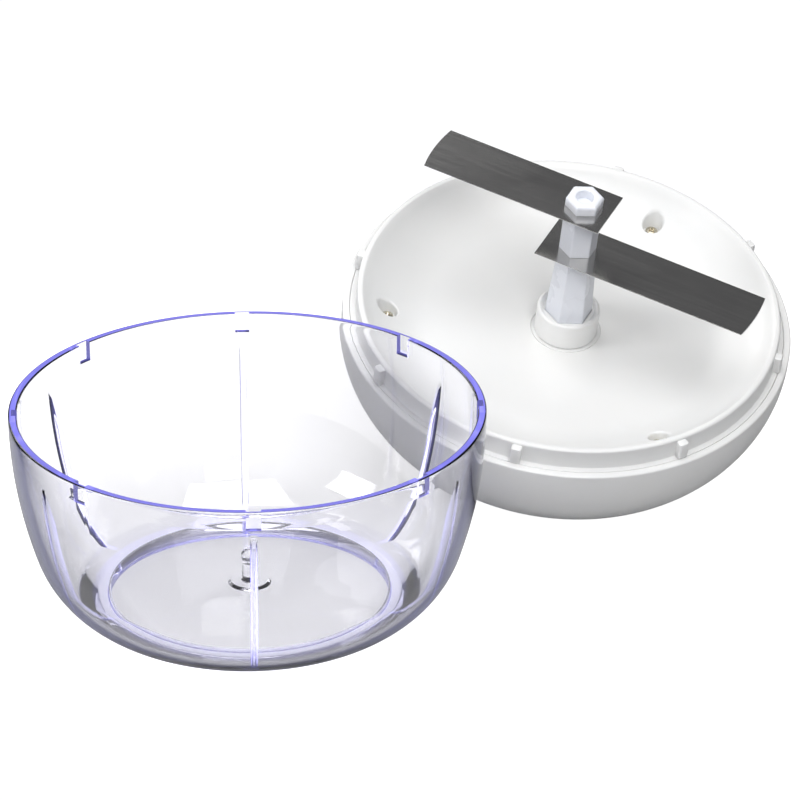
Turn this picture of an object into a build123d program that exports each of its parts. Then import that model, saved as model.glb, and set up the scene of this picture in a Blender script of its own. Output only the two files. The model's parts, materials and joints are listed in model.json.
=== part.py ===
"""Crank food chopper: a clear bowl, and beside it the geared lid, turned over with its blades up.

Units are millimetres and degrees.  The bowl stands on z = 0 with its axis on Z.  The lid lies upside down
behind it, on the shoulder of its dome and the end of its crank knob, and that is what tilts it.  Every lid
piece is drawn in the lid's own frame: origin at the middle of the rim, X uphill towards the crank, Z along
the blade shaft, out of the dish.  A height in that frame is below zero inside the dome.
"""
from math import acos, asin, atan2, cos, degrees, hypot, pi, radians, sin, sqrt, tan
import os

from build123d import *

os.makedirs("parts", exist_ok=True)

# ---------------------------------------------------------------- driving dimensions: bowl
bowl_radius = 82.5  # outside, at the rim
bowl_height = 74.6
bowl_wall = 3.0
bowl_turn = 2.0  # turn of its notches and ribs about Z
heel_set_in = 8.1  # where the side passes into the heel, inside the rim
heel_height = 23.6
foot_set_in = 29.7  # outside of the standing ring, inside the rim
foot_width = 3.2
foot_height = 5.0  # the floor is raised by this
floor_thickness = 3.0
floor_round = 3.0
rim_round = 0.6

notch_count = 8
notch_width = 5.0
notch_height = 7.0
notch_skin = 1.1  # outside wall left behind a notch

rib_count = 6
rib_width = 2.2
rib_depth = 2.4
rib_drop = 11.0  # top of a rib below the rim
rib_lead = 13.0  # length in which a rib rises to its full depth

pin_radius = 2.8
pin_height = 13.4
pin_waist_radius = 2.45
pin_waist_height = 7.4  # above the floor, where the rounded top begins
pin_neck = 1.0  # length of the step out of the waist
pin_boss_radius = 7.6
pin_boss_height = 0.8

# ---------------------------------------------------------------- driving dimensions: lid shells
lid_radius = 82.3
dome_wall = 3.2
dome_land = 3.5  # upright part of the dome below its rim
dome_side_radius = 43.4
dome_side_turn = 45.0
shoulder_radius = 12.0
shoulder_turn = 27.0
rim_band = 2.6  # width of the dome's rim outside the seam
seam_gap = 0.15

flange_width = 2.0
flange_thickness = 2.4
neck_height = 8.0
neck_thickness = 2.2
neck_round = 0.9
dish_wall = 2.2
dish_floor_height = -5.0
dish_floor_radius = 52.0

lug_width = 4.0
lug_height = 7.0
lug_reach = 0.7  # from the bowl's inside into the notch
lug_turn = 15.8  # first lug, from uphill

cover_screw_count = 3
cover_screw_place = 65.5  # distance from the lid's axis
cover_screw_turn = -45.0
cover_screw_radius = 1.4
cover_screw_length = 16.0
screw_head_radius = 2.3
screw_head_height = 1.7
cross_length = 2.8
cross_width = 0.7
cross_depth = 0.9
pocket_radius = 3.1
pocket_flare = 8.0
pocket_floor_height = -6.4
pocket_wall = 1.8
boss_radius = 3.9

# ---------------------------------------------------------------- driving dimensions: gears
gear_module = 1.5
pressure_angle = 25.0
sun_teeth = 12
idler_teeth = 15
idler_count = 3
addendum = 0.9  # in modules
dedendum = 1.2  # in modules
backlash = 0.16
gear_width = 8.0
axial_gap = 1.0
flank_steps = 3
idler_turn = 20.0  # first idler, from uphill
idler_pin_radius = 2.0
idler_pin_seat = 1.2
thrust_boss_radius = 3.6
thrust_boss_height = 0.7
post_circle_radius = 22.0
post_radius = 3.4
plate_radius = 28.0
plate_thickness = 2.0
plate_hole_radius = 7.4
plate_screw_radius = 1.2
plate_screw_length = 8.0
plate_head_radius = 2.4
plate_head_height = 0.8
ring_wall = 2.7
web_thickness = 2.5
ring_hub_radius = 9.0
running_fit = 0.05
seat_fit = 0.02  # pins, screws and stems in pieces that they don't turn in

# ---------------------------------------------------------------- driving dimensions: crank and knob
bush_radius = 7.0
bush_flange_radius = 9.6
bush_flange_thickness = 2.0
bush_stand = 0.4  # the bush ends this far outside the crown
stub_radius = 5.0
square_size = 7.0
square_fit = 0.05
crank_reach = 52.0
arm_clearance = 1.2  # over the crown
arm_thickness = 5.0
arm_hub_radius = 15.0
arm_end_radius = 9.5
arm_boss_radius = 7.8  # round foot under the knob
arm_round = 1.2
edge_finder = 0.01  # nearness that picks out the arm's outer edges
crank_screw_radius = 1.5
crank_screw_length = 12.0
crank_head_radius = 3.0
crank_head_height = 2.4
clamp_gap = 0.2  # end of the square below the washer
washer_thickness = 0.8
washer_radius = 4.4

knob_radius = 9.0
knob_neck_radius = 7.0
knob_end_depth = 69.7  # centre of the knob's rounded end, below the lid's rim
knob_gap = 0.4
knob_pin_radius = 3.0
knob_pin_head_radius = 5.0
knob_pin_head_height = 1.6
knob_pin_skin = 1.0  # arm left over the blind end of the pin
knob_head_gap = 0.3
knob_cap_seat = 2.3  # the cap starts this far past the centre of the rounded end
knob_cap_plug = 2.0
knob_cap_fit = 0.1

# ---------------------------------------------------------------- driving dimensions: blade drive
collar_radius = 11.5
collar_height = 5.9
collar_funnel = 1.4
collar_lip = 0.8
journal_radius = 8.0
recess_radius = 12.9
recess_depth = 0.6
collar_washer_thickness = 0.4
collar_gap = 0.2
stem_radius = 4.6
stem_flat = 0.9
stem_tail = 1.2
clip_radius = 6.4
clip_thickness = 1.0
clip_opening = 5.0
washer_gap = 0.3  # round the collar washer

shaft_width = 15.0  # across flats, at the collar
shaft_top_width = 12.5  # across flats, under the lower blade
shaft_fit = 0.15
shaft_foot_height = -2.4
tang_width = 9.0
tang_fit = 0.1
tang_height = 6.0
tang_relief = 0.2
cap_tang = 2.8
spacer_width = 12.0
cap_width = 12.1
cap_height = 4.1
cap_round = 0.6
cap_bore_radius = 3.3
cap_bore_depth = 9.6

blade_width = 22.3
blade_thickness = 0.8
blade_bevel = 1.6
blade_edge = 0.25  # thickness left at the cutting edge
blade_turn = 49.6  # direction of the upper blade, from uphill
lower_blade_height = 35.2  # face towards the tip of the shaft
lower_blade_reach = 70.3
lower_blade_tail = 12.2
upper_blade_height = 55.7
upper_blade_reach = 59.6
upper_blade_tail = 10.4

# ---------------------------------------------------------------- rest pose of the lid
uphill_direction = 104.2  # about Z, from X
lid_bearing = 44.7  # direction from the bowl's axis to the middle of the lid
stand_gap = 1.7  # between bowl and lid, taken along that direction


# ================================================================ worked-out sizes
def polar(radius, angle):
    """Point at this radius and angle, in degrees."""
    return radius * cos(radians(angle)), radius * sin(radians(angle))


# Bowl wall: a side arc that leaves the rim upright, and a heel arc tangent to it that ends at the foot.
heel_radius = bowl_radius - heel_set_in
foot_radius = bowl_radius - foot_set_in
side_arc = ((bowl_radius - heel_radius) ** 2 + (bowl_height - heel_height) ** 2) / (2 * (bowl_radius - heel_radius))
heel_slope = asin((bowl_height - heel_height) / side_arc)
heel_run = heel_radius - foot_radius
heel_arc = (heel_run**2 + heel_height**2) / (2 * (heel_run * cos(heel_slope) - heel_height * sin(heel_slope)))
heel_centre = (heel_radius - heel_arc * cos(heel_slope), heel_height + heel_arc * sin(heel_slope))
floor_height = foot_height + floor_thickness
rib_top = bowl_height - rib_drop

# Dome: side arc, shoulder arc and a crown that is square to the axis at the apex.
shoulder_centre_radius = lid_radius - dome_side_radius + (dome_side_radius - shoulder_radius) * cos(radians(dome_side_turn))
shoulder_centre_depth = dome_land + (dome_side_radius - shoulder_radius) * sin(radians(dome_side_turn))
crown_turn = dome_side_turn + shoulder_turn
crown_radius = (shoulder_centre_radius + shoulder_radius * cos(radians(crown_turn))) / cos(radians(crown_turn))
crown_edge_depth = shoulder_centre_depth + shoulder_radius * sin(radians(crown_turn))
crown_depth = crown_edge_depth + crown_radius * (1 - sin(radians(crown_turn)))
crown_centre_height = crown_radius - crown_depth

# Tilt: one plane, the table, touches the shoulder arc and the round end of the knob.
prop_span = shoulder_centre_radius + crank_reach
prop_drop = knob_end_depth - shoulder_centre_depth
lid_tilt = atan2(prop_drop, prop_span) + asin((knob_radius - shoulder_radius) / hypot(prop_span, prop_drop))
lid_lift = shoulder_centre_radius * sin(lid_tilt) + shoulder_centre_depth * cos(lid_tilt) + shoulder_radius
low_direction = radians(lid_bearing + 180 - uphill_direction)
rim_foreshortening = sqrt(1 - (sin(lid_tilt) * cos(low_direction)) ** 2)
near_height = lid_lift + lid_radius * sin(lid_tilt) * cos(low_direction)
bowl_near_radius = bowl_radius - side_arc + sqrt(side_arc**2 - (bowl_height - near_height) ** 2)
stand_off = bowl_near_radius + lid_radius * rim_foreshortening + stand_gap

lid_origin = Vector(*polar(stand_off, lid_bearing), lid_lift)
uphill_x, uphill_y = polar(1, uphill_direction)
uphill = Vector(uphill_x * cos(lid_tilt), uphill_y * cos(lid_tilt), sin(lid_tilt))
shaft_direction = Vector(-uphill_x * sin(lid_tilt), -uphill_y * sin(lid_tilt), cos(lid_tilt))
lid_plane = Plane(origin=lid_origin, x_dir=uphill, z_dir=shaft_direction)
lid_section = Plane(origin=lid_origin, x_dir=uphill, z_dir=uphill.cross(shaft_direction))
lid_axis = Axis(lid_origin, shaft_direction)
crank_section = Plane(
    origin=lid_plane.from_local_coords(Vector(crank_reach, 0, 0)),
    x_dir=uphill,
    z_dir=uphill.cross(shaft_direction),
)
knob_axis = Axis(crank_section.origin, shaft_direction)

seam_radius = lid_radius - rim_band
flange_radius = seam_radius - seam_gap
neck_radius = flange_radius - flange_width
dish_lip_radius = neck_radius - neck_thickness
dish_back_height = dish_floor_height - dish_wall
dish_arc = ((dish_lip_radius - dish_floor_radius) ** 2 + (neck_height - dish_floor_height) ** 2) / (
    2 * (neck_height - dish_floor_height)
)
bowl_inside_radius = bowl_radius - bowl_wall
lug_outer_radius = bowl_inside_radius + lug_reach

ring_teeth = sun_teeth + 2 * idler_teeth
idler_place = gear_module * (sun_teeth + idler_teeth) / 2
gear_top = dish_back_height - axial_gap
gear_bottom = gear_top - gear_width
plate_top = gear_bottom - axial_gap
plate_bottom = plate_top - plate_thickness
web_top = plate_bottom - plate_head_height - axial_gap
web_bottom = web_top - web_thickness
ring_root_radius = gear_module * (ring_teeth / 2 + dedendum)
ring_outer_radius = ring_root_radius + ring_wall
bush_seat_height = crown_centre_height - sqrt((crown_radius - dome_wall) ** 2 - bush_flange_radius**2)
bush_face_height = bush_seat_height + bush_flange_thickness
bush_end_height = -crown_depth - bush_stand
ring_hub_bottom = bush_face_height + running_fit
square_top = web_bottom - washer_thickness - crank_head_height
arm_inner = crown_radius + arm_clearance
arm_outer = arm_inner + arm_thickness


# ================================================================ shared shapes
def wall_radius(inset, height):
    """Radius of the bowl wall's surface, inset from the outside, at a height."""
    if height >= heel_height + inset * sin(heel_slope):
        return bowl_radius - side_arc + sqrt((side_arc - inset) ** 2 - (bowl_height - height) ** 2)
    return heel_centre[0] + sqrt((heel_arc - inset) ** 2 - (heel_centre[1] - height) ** 2)


def wall_curve(inset, top, bottom):
    """Two arcs along the bowl wall, inset from its outside, from one height down to another."""
    joint = heel_height + inset * sin(heel_slope)
    for high, low in ((top, joint), (joint, bottom)):
        middle = (high + low) / 2
        ThreePointArc(*[(wall_radius(inset, height), height) for height in (high, middle, low)])


def dome_curve(inset):
    """Half section of the dome, inset from its outside: land, side, shoulder and crown."""
    land = Line((lid_radius - inset, 0), (lid_radius - inset, -dome_land))
    side = JernArc(land @ 1, land % 1, dome_side_radius - inset, -dome_side_turn)
    shoulder = JernArc(side @ 1, side % 1, shoulder_radius - inset, -shoulder_turn)
    crown = JernArc(shoulder @ 1, shoulder % 1, crown_radius - inset, crown_turn - 90)
    return land, crown


def hexagon(width):
    """Hexagon across flats, with one flat square to the blades."""
    return RegularPolygon(width / 2, 6, major_radius=False, rotation=blade_turn + 30)


def tooth_half_angle(teeth, radius, slack):
    """Half the angle of an involute tooth at a radius, with slack added to its thickness."""
    pitch_radius = gear_module * teeth / 2
    base_radius = pitch_radius * cos(radians(pressure_angle))
    roll = acos(min(1.0, base_radius / radius))
    at_pitch = pi / (2 * teeth) + slack / (2 * pitch_radius)
    return at_pitch + tan(radians(pressure_angle)) - radians(pressure_angle) - (tan(roll) - roll)


def tooth_outline(teeth, inner, outer, slack, centre, turn):
    """Closed outline of a whole toothed wheel: up one flank and down the other of each tooth."""
    radii = [inner + (outer - inner) * step / flank_steps for step in range(flank_steps + 1)]
    points = []
    for tooth in range(teeth):
        middle = turn + 2 * pi * tooth / teeth
        half_angles = [tooth_half_angle(teeth, radius, slack) for radius in radii]
        flank = [(radius, middle - half) for radius, half in zip(radii, half_angles)]
        flank += [(radius, middle + half) for radius, half in zip(radii[::-1], half_angles[::-1])]
        points += [(centre[0] + radius * cos(angle), centre[1] + radius * sin(angle)) for radius, angle in flank]
    return points


def wheel_outline(teeth, centre, turn):
    """Outline of an external gear."""
    inner = gear_module * (teeth / 2 - dedendum)
    outer = gear_module * (teeth / 2 + addendum)
    return tooth_outline(teeth, inner, outer, -backlash / 2, centre, turn)


def idler_phase(direction):
    """Turn, in radians, at which an idler in this direction meshes with the sun gear at zero turn."""
    around = radians(direction)
    return around + pi + (pi + sun_teeth * around) / idler_teeth


def cross_recess(height, places):
    """Cross slots of screw heads, drawn at a height and cut towards the shank."""
    with BuildSketch(lid_plane.offset(height)) as slots:
        with Locations(*places):
            Rectangle(cross_length, cross_width)
            Rectangle(cross_width, cross_length)
    return slots.sketch


cover_screw_places = [polar(cover_screw_place, cover_screw_turn + 120 * k) for k in range(cover_screw_count)]
idler_directions = [idler_turn + 360 * k / idler_count for k in range(idler_count)]
idler_places = [polar(idler_place, direction) for direction in idler_directions]
post_places = [polar(post_circle_radius, direction + 180 / idler_count) for direction in idler_directions]

# ================================================================ bowl
with BuildPart() as bowl_rib:
    with BuildSketch(Plane.XZ):
        with BuildLine():
            full_depth = bowl_wall + rib_depth
            full_top = rib_top - rib_lead
            wall_curve(bowl_wall / 2, rib_top, floor_height - floor_thickness / 2)
            wall_curve(full_depth, full_top, floor_height - floor_thickness / 2)
            Polyline(
                (wall_radius(bowl_wall / 2, rib_top), rib_top),
                (wall_radius(bowl_wall, rib_top), rib_top),
                (wall_radius(full_depth, full_top), full_top),
            )
            Line(
                (wall_radius(bowl_wall / 2, floor_height - floor_thickness / 2), floor_height - floor_thickness / 2),
                (wall_radius(full_depth, floor_height - floor_thickness / 2), floor_height - floor_thickness / 2),
            )
        make_face()
    extrude(amount=rib_width / 2, both=True)

with BuildPart() as bowl:
    with BuildSketch(Plane.XZ) as bowl_section:
        with BuildLine():
            wall_curve(0, bowl_height, 0)
            wall_curve(bowl_wall, bowl_height, floor_height)
            Line((bowl_inside_radius, bowl_height), (bowl_radius, bowl_height))
            Polyline(
                (foot_radius, 0),
                (foot_radius - foot_width, 0),
                (foot_radius - foot_width, foot_height),
                (0, foot_height),
                (0, floor_height),
                (wall_radius(bowl_wall, floor_height), floor_height),
            )
        make_face()
        rim_corners = bowl_section.vertices().group_by(Axis.Y)[-1]
        fillet(rim_corners, rim_round)
        floor_corner = bowl_section.vertices().sort_by_distance((wall_radius(bowl_wall, floor_height), floor_height))[0]
        fillet(floor_corner, floor_round)
    revolve(axis=Axis.Z)
    with PolarLocations(0, rib_count, start_angle=bowl_turn - 90):
        add(bowl_rib.part)
    with BuildSketch(Plane.XY.offset(bowl_height)):
        notch_length = bowl_wall - notch_skin + bowl_wall
        with PolarLocations(bowl_radius - notch_skin - notch_length / 2, notch_count, start_angle=bowl_turn - 90):
            Rectangle(notch_length, notch_width)
    extrude(amount=-notch_height, mode=Mode.SUBTRACT)
    with BuildSketch(Plane.XZ):
        with BuildLine():
            Polyline(
                (0, floor_height - floor_thickness / 2),
                (pin_boss_radius, floor_height - floor_thickness / 2),
                (pin_boss_radius, floor_height + pin_boss_height / 2),
                (pin_boss_radius - pin_boss_height, floor_height + pin_boss_height),
                (pin_radius, floor_height + pin_boss_height),
                (pin_waist_radius, floor_height + pin_waist_height),
                (pin_radius, floor_height + pin_waist_height + pin_neck),
                (pin_radius, floor_height + pin_height - pin_radius),
            )
            pin_round = floor_height + pin_height - pin_radius
            ThreePointArc(
                (pin_radius, pin_round),
                (pin_radius * cos(pi / 4), pin_round + pin_radius * sin(pi / 4)),
                (0, floor_height + pin_height),
            )
            Line((0, floor_height + pin_height), (0, floor_height - floor_thickness / 2))
        make_face()
    revolve(axis=Axis.Z)
bowl.part.label = "bowl"
export_step(bowl.part, "parts/bowl.step")

# ================================================================ dome cover
with BuildPart() as dome_cavity:
    with BuildSketch(lid_section):
        with BuildLine():
            land, crown = dome_curve(dome_wall)
            Polyline(land @ 0, (0, 0), crown @ 1)
        make_face()
    revolve(axis=lid_axis)
    with BuildSketch(lid_plane):
        with Locations(*cover_screw_places):
            Circle(boss_radius)
    extrude(amount=-crown_depth, mode=Mode.SUBTRACT)

boss_top = pocket_floor_height - pocket_wall
with BuildPart() as dome_cover:
    with BuildSketch(lid_section) as dome_section:
        with BuildLine():
            land, crown = dome_curve(0)
            Polyline(land @ 0, (0, 0), crown @ 1)
        make_face()
        fillet(dome_section.vertices().sort_by_distance((lid_radius, 0))[0], rim_round)
    revolve(axis=lid_axis)
    add(dome_cavity.part, mode=Mode.SUBTRACT)
    with BuildSketch(lid_plane):
        Circle(seam_radius)
    extrude(amount=-flange_thickness, mode=Mode.SUBTRACT)
    with BuildSketch(lid_plane):
        Circle(seam_radius - bowl_wall)
    extrude(amount=boss_top, mode=Mode.SUBTRACT)
    with BuildSketch(lid_plane.offset(boss_top)):
        with Locations(*cover_screw_places):
            Circle(cover_screw_radius + seat_fit)
    extrude(amount=pocket_floor_height - cover_screw_length - boss_top, mode=Mode.SUBTRACT)
    with BuildSketch(lid_plane.offset(-crown_depth)):
        Circle(bush_radius + seat_fit)
    extrude(amount=crown_depth, mode=Mode.SUBTRACT)
dome_cover.part.label = "dome_cover"
export_step(dome_cover.part, "parts/dome_cover.step")

# ================================================================ dish cover
with BuildPart() as dish_cover:
    with BuildSketch(lid_section) as dish_section:
        back_arc = dish_arc + dish_wall
        back_reach = dish_lip_radius - dish_floor_radius
        back_join = dish_floor_height + dish_arc - sqrt(back_arc**2 - back_reach**2)
        with BuildLine():
            Line((journal_radius + running_fit, dish_floor_height), (dish_floor_radius, dish_floor_height))
            TangentArc((dish_floor_radius, dish_floor_height), (dish_lip_radius, neck_height), tangent=(1, 0))
            Polyline(
                (dish_lip_radius, neck_height),
                (neck_radius, neck_height),
                (neck_radius, 0),
                (flange_radius, 0),
                (flange_radius, -flange_thickness),
                (dish_lip_radius, -flange_thickness),
                (dish_lip_radius, back_join),
            )
            TangentArc((dish_floor_radius, dish_back_height), (dish_lip_radius, back_join), tangent=(1, 0))
            Polyline(
                (dish_floor_radius, dish_back_height),
                (journal_radius + running_fit, dish_back_height),
                (journal_radius + running_fit, dish_floor_height),
            )
        make_face()
        neck_corners = dish_section.vertices().group_by(Axis.Y)[-1]
        fillet(neck_corners, neck_round)
    revolve(axis=lid_axis)
    with BuildSketch(lid_plane.offset(seam_gap)):
        lug_length = lug_outer_radius - neck_radius + neck_thickness / 2
        with PolarLocations(lug_outer_radius - lug_length / 2, notch_count, start_angle=lug_turn):
            Rectangle(lug_length, lug_width)
    extrude(amount=lug_height)
    with BuildSketch(lid_plane.offset(boss_top)):
        with Locations(*cover_screw_places):
            Circle(pocket_radius + pocket_wall)
    extrude(amount=neck_height - neck_round - boss_top)
    with BuildSketch(lid_section):
        with BuildLine():
            Line((0, dish_floor_height), (dish_floor_radius, dish_floor_height))
            TangentArc((dish_floor_radius, dish_floor_height), (dish_lip_radius, neck_height), tangent=(1, 0))
            Polyline((dish_lip_radius, neck_height), (0, neck_height), (0, dish_floor_height))
        make_face()
    revolve(axis=lid_axis, mode=Mode.SUBTRACT)
    with BuildSketch(lid_plane.offset(pocket_floor_height)):
        with Locations(*cover_screw_places):
            Circle(pocket_radius)
    extrude(amount=neck_height - pocket_floor_height, taper=-pocket_flare, mode=Mode.SUBTRACT)
    with BuildSketch(lid_plane.offset(boss_top)):
        with Locations(*cover_screw_places):
            Circle(cover_screw_radius + seat_fit)
    extrude(amount=pocket_wall, mode=Mode.SUBTRACT)
    with BuildSketch(lid_plane.offset(dish_floor_height - recess_depth)):
        Circle(recess_radius)
    extrude(amount=recess_depth, mode=Mode.SUBTRACT)
    with BuildSketch(lid_plane.offset(dish_back_height)):
        with Locations(*post_places):
            Circle(post_radius)
    extrude(amount=plate_top - dish_back_height)
    with BuildSketch(lid_plane.offset(dish_back_height)):
        with Locations(*idler_places):
            Circle(thrust_boss_radius)
    extrude(amount=-thrust_boss_height)
    with BuildSketch(lid_plane.offset(dish_back_height - thrust_boss_height)):
        with Locations(*idler_places):
            Circle(idler_pin_radius + seat_fit)
    extrude(amount=thrust_boss_height + idler_pin_seat, mode=Mode.SUBTRACT)
    with BuildSketch(lid_plane.offset(plate_top)):
        with Locations(*post_places):
            Circle(plate_screw_radius + seat_fit)
    extrude(amount=plate_screw_length - plate_thickness, mode=Mode.SUBTRACT)
dish_cover.part.label = "dish_cover"
export_step(dish_cover.part, "parts/dish_cover.step")

# ================================================================ cover screws
with BuildPart() as cover_screws:
    with BuildSketch(lid_plane.offset(pocket_floor_height)):
        with Locations(*cover_screw_places):
            Circle(screw_head_radius)
    extrude(amount=screw_head_height)
    with BuildSketch(lid_plane.offset(pocket_floor_height)):
        with Locations(*cover_screw_places):
            Circle(cover_screw_radius)
    extrude(amount=-cover_screw_length)
    add(cross_recess(pocket_floor_height + screw_head_height, cover_screw_places))
    extrude(amount=-cross_depth, mode=Mode.SUBTRACT)
cover_screws.part.label = "cover_screws"
export_step(cover_screws.part, "parts/cover_screws.step")

# ================================================================ idler gears, their pins and plate
for number, (direction, place) in enumerate(zip(idler_directions, idler_places), start=1):
    with BuildPart() as idler_gear:
        with BuildSketch(lid_plane.offset(gear_bottom)):
            with BuildLine():
                Polyline(*wheel_outline(idler_teeth, place, idler_phase(direction)), close=True)
            make_face()
            with Locations(place):
                Circle(idler_pin_radius + running_fit, mode=Mode.SUBTRACT)
        extrude(amount=gear_width)
    idler_gear.part.label = f"idler_gear_{number}"
    export_step(idler_gear.part, f"parts/idler_gear_{number}.step")

with BuildPart() as idler_pins:
    with BuildSketch(lid_plane.offset(plate_bottom)):
        with Locations(*idler_places):
            Circle(idler_pin_radius)
    extrude(amount=dish_back_height + idler_pin_seat - plate_bottom)
idler_pins.part.label = "idler_pins"
export_step(idler_pins.part, "parts/idler_pins.step")

with BuildPart() as gear_plate:
    with BuildSketch(lid_plane.offset(plate_bottom)):
        Circle(plate_radius)
        Circle(plate_hole_radius, mode=Mode.SUBTRACT)
        with Locations(*idler_places):
            Circle(idler_pin_radius + seat_fit, mode=Mode.SUBTRACT)
        with Locations(*post_places):
            Circle(plate_screw_radius + seat_fit, mode=Mode.SUBTRACT)
    extrude(amount=plate_thickness)
gear_plate.part.label = "gear_plate"
export_step(gear_plate.part, "parts/gear_plate.step")

with BuildPart() as plate_screws:
    with BuildSketch(lid_plane.offset(plate_bottom)):
        with Locations(*post_places):
            Circle(plate_head_radius)
    extrude(amount=-plate_head_height)
    with BuildSketch(lid_plane.offset(plate_bottom)):
        with Locations(*post_places):
            Circle(plate_screw_radius)
    extrude(amount=plate_screw_length)
plate_screws.part.label = "plate_screws"
export_step(plate_screws.part, "parts/plate_screws.step")

# ================================================================ ring gear
ring_phase = radians(idler_turn) + (idler_phase(idler_turn) - radians(idler_turn)) * idler_teeth / ring_teeth
with BuildPart() as ring_gear:
    with BuildSketch(lid_plane.offset(web_bottom)):
        Circle(ring_outer_radius)
    extrude(amount=gear_top - web_bottom)
    with BuildSketch(lid_plane.offset(web_top)):
        Circle(ring_root_radius)
    extrude(amount=gear_bottom - web_top, mode=Mode.SUBTRACT)
    with BuildSketch(lid_plane.offset(gear_bottom)):
        with BuildLine():
            tip = gear_module * (ring_teeth / 2 - addendum)
            Polyline(*tooth_outline(ring_teeth, tip, ring_root_radius, backlash / 2, (0, 0), ring_phase), close=True)
        make_face()
    extrude(amount=gear_width, mode=Mode.SUBTRACT)
    with BuildSketch(lid_plane.offset(web_bottom)):
        Circle(ring_hub_radius)
    extrude(amount=ring_hub_bottom - web_bottom)
    with BuildSketch(lid_plane.offset(ring_hub_bottom)):
        Rectangle(square_size + 2 * square_fit, square_size + 2 * square_fit)
    extrude(amount=square_top - ring_hub_bottom, mode=Mode.SUBTRACT)
    with BuildSketch(lid_plane.offset(web_top)):
        Circle(washer_radius + square_fit)
    extrude(amount=square_top - web_top, mode=Mode.SUBTRACT)
ring_gear.part.label = "ring_gear"
export_step(ring_gear.part, "parts/ring_gear.step")

# ================================================================ crank
with BuildPart() as crank_bush:
    with BuildSketch(lid_plane.offset(bush_face_height)):
        Circle(bush_flange_radius)
    extrude(amount=-bush_flange_thickness)
    with BuildSketch(lid_plane.offset(bush_face_height)):
        Circle(bush_radius)
    extrude(amount=bush_end_height - bush_face_height)
    with BuildSketch(lid_plane.offset(bush_face_height)):
        Circle(stub_radius + running_fit)
    extrude(amount=bush_end_height - bush_face_height, mode=Mode.SUBTRACT)
crank_bush.part.label = "crank_bush"
export_step(crank_bush.part, "parts/crank_bush.step")

arm_face_height = bush_end_height - running_fit
arm_boss_start = crown_centre_height - sqrt(arm_outer**2 - (crank_reach + arm_end_radius) ** 2)
knob_seat_height = crown_centre_height - sqrt(arm_outer**2 - (crank_reach - arm_end_radius) ** 2)
knob_pin_root = crown_centre_height - sqrt(arm_inner**2 - crank_reach**2) - knob_pin_skin
arm_centre = Vertex(*lid_plane.from_local_coords(Vector(0, 0, crown_centre_height)))
with BuildPart() as crank_arm:
    with BuildSketch(lid_section):
        with Locations((0, crown_centre_height)):
            Circle(arm_outer)
            Circle(arm_inner, mode=Mode.SUBTRACT)
        Rectangle(2 * crank_reach, 2 * crown_depth, align=(Align.MIN, Align.MAX), mode=Mode.INTERSECT)
    revolve(axis=lid_axis)
    with BuildSketch(lid_plane):
        Circle(arm_hub_radius)
        with Locations((crank_reach, 0)):
            Circle(arm_end_radius)
        make_hull()
    extrude(amount=-2 * crown_depth, mode=Mode.INTERSECT)
    outer_edges = [e for e in crank_arm.edges() if abs(e.distance_to(arm_centre) - arm_outer) < edge_finder]
    fillet(outer_edges, arm_round)
    with BuildSketch(lid_plane.offset(arm_boss_start)):
        with Locations((crank_reach, 0)):
            Circle(arm_boss_radius)
    extrude(amount=knob_seat_height - arm_boss_start)
    with BuildSketch(lid_plane.offset(arm_face_height)):
        Circle(bush_radius)
    extrude(amount=-arm_clearance - arm_thickness / 2)
    with BuildSketch(lid_plane.offset(arm_face_height)):
        Circle(stub_radius)
    extrude(amount=bush_face_height - arm_face_height)
    with BuildSketch(lid_plane.offset(bush_face_height)):
        Rectangle(square_size, square_size)
    extrude(amount=square_top - clamp_gap - bush_face_height)
    with BuildSketch(lid_plane.offset(square_top - clamp_gap)):
        Circle(crank_screw_radius + seat_fit)
    extrude(amount=clamp_gap + washer_thickness - crank_screw_length, mode=Mode.SUBTRACT)
    with BuildSketch(lid_plane.offset(knob_pin_root)):
        with Locations((crank_reach, 0)):
            Circle(knob_pin_radius + seat_fit)
    extrude(amount=knob_seat_height - knob_pin_root, mode=Mode.SUBTRACT)
crank_arm.part.label = "crank_arm"
export_step(crank_arm.part, "parts/crank_arm.step")

with BuildPart() as crank_washer:
    with BuildSketch(lid_plane.offset(square_top)):
        Circle(washer_radius)
        Circle(crank_screw_radius + seat_fit, mode=Mode.SUBTRACT)
    extrude(amount=washer_thickness)
crank_washer.part.label = "crank_washer"
export_step(crank_washer.part, "parts/crank_washer.step")

with BuildPart() as crank_screw:
    with BuildSketch(lid_plane.offset(square_top + washer_thickness)):
        Circle(crank_head_radius)
    extrude(amount=crank_head_height)
    with BuildSketch(lid_plane.offset(square_top + washer_thickness)):
        Circle(crank_screw_radius)
    extrude(amount=-crank_screw_length)
    add(cross_recess(square_top + washer_thickness + crank_head_height, [(0, 0)]))
    extrude(amount=-cross_depth, mode=Mode.SUBTRACT)
crank_screw.part.label = "crank_screw"
export_step(crank_screw.part, "parts/crank_screw.step")

# ================================================================ knob
cap_seat_depth = knob_end_depth + knob_cap_seat
pin_head_depth = cap_seat_depth - knob_cap_plug - knob_gap
knob_shoulder_depth = pin_head_depth - knob_pin_head_height - running_fit
knob_bore_radius = knob_pin_radius + running_fit
knob_counterbore_radius = knob_pin_head_radius + knob_head_gap
knob_cap_radius = sqrt(knob_radius**2 - knob_cap_seat**2)
with BuildPart() as knob_pin:
    with BuildSketch(lid_plane.offset(knob_pin_root)):
        with Locations((crank_reach, 0)):
            Circle(knob_pin_radius)
    extrude(amount=-pin_head_depth - knob_pin_root)
    with BuildSketch(lid_plane.offset(-pin_head_depth)):
        with Locations((crank_reach, 0)):
            Circle(knob_pin_head_radius)
    extrude(amount=knob_pin_head_height)
knob_pin.part.label = "knob_pin"
export_step(knob_pin.part, "parts/knob_pin.step")

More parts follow.
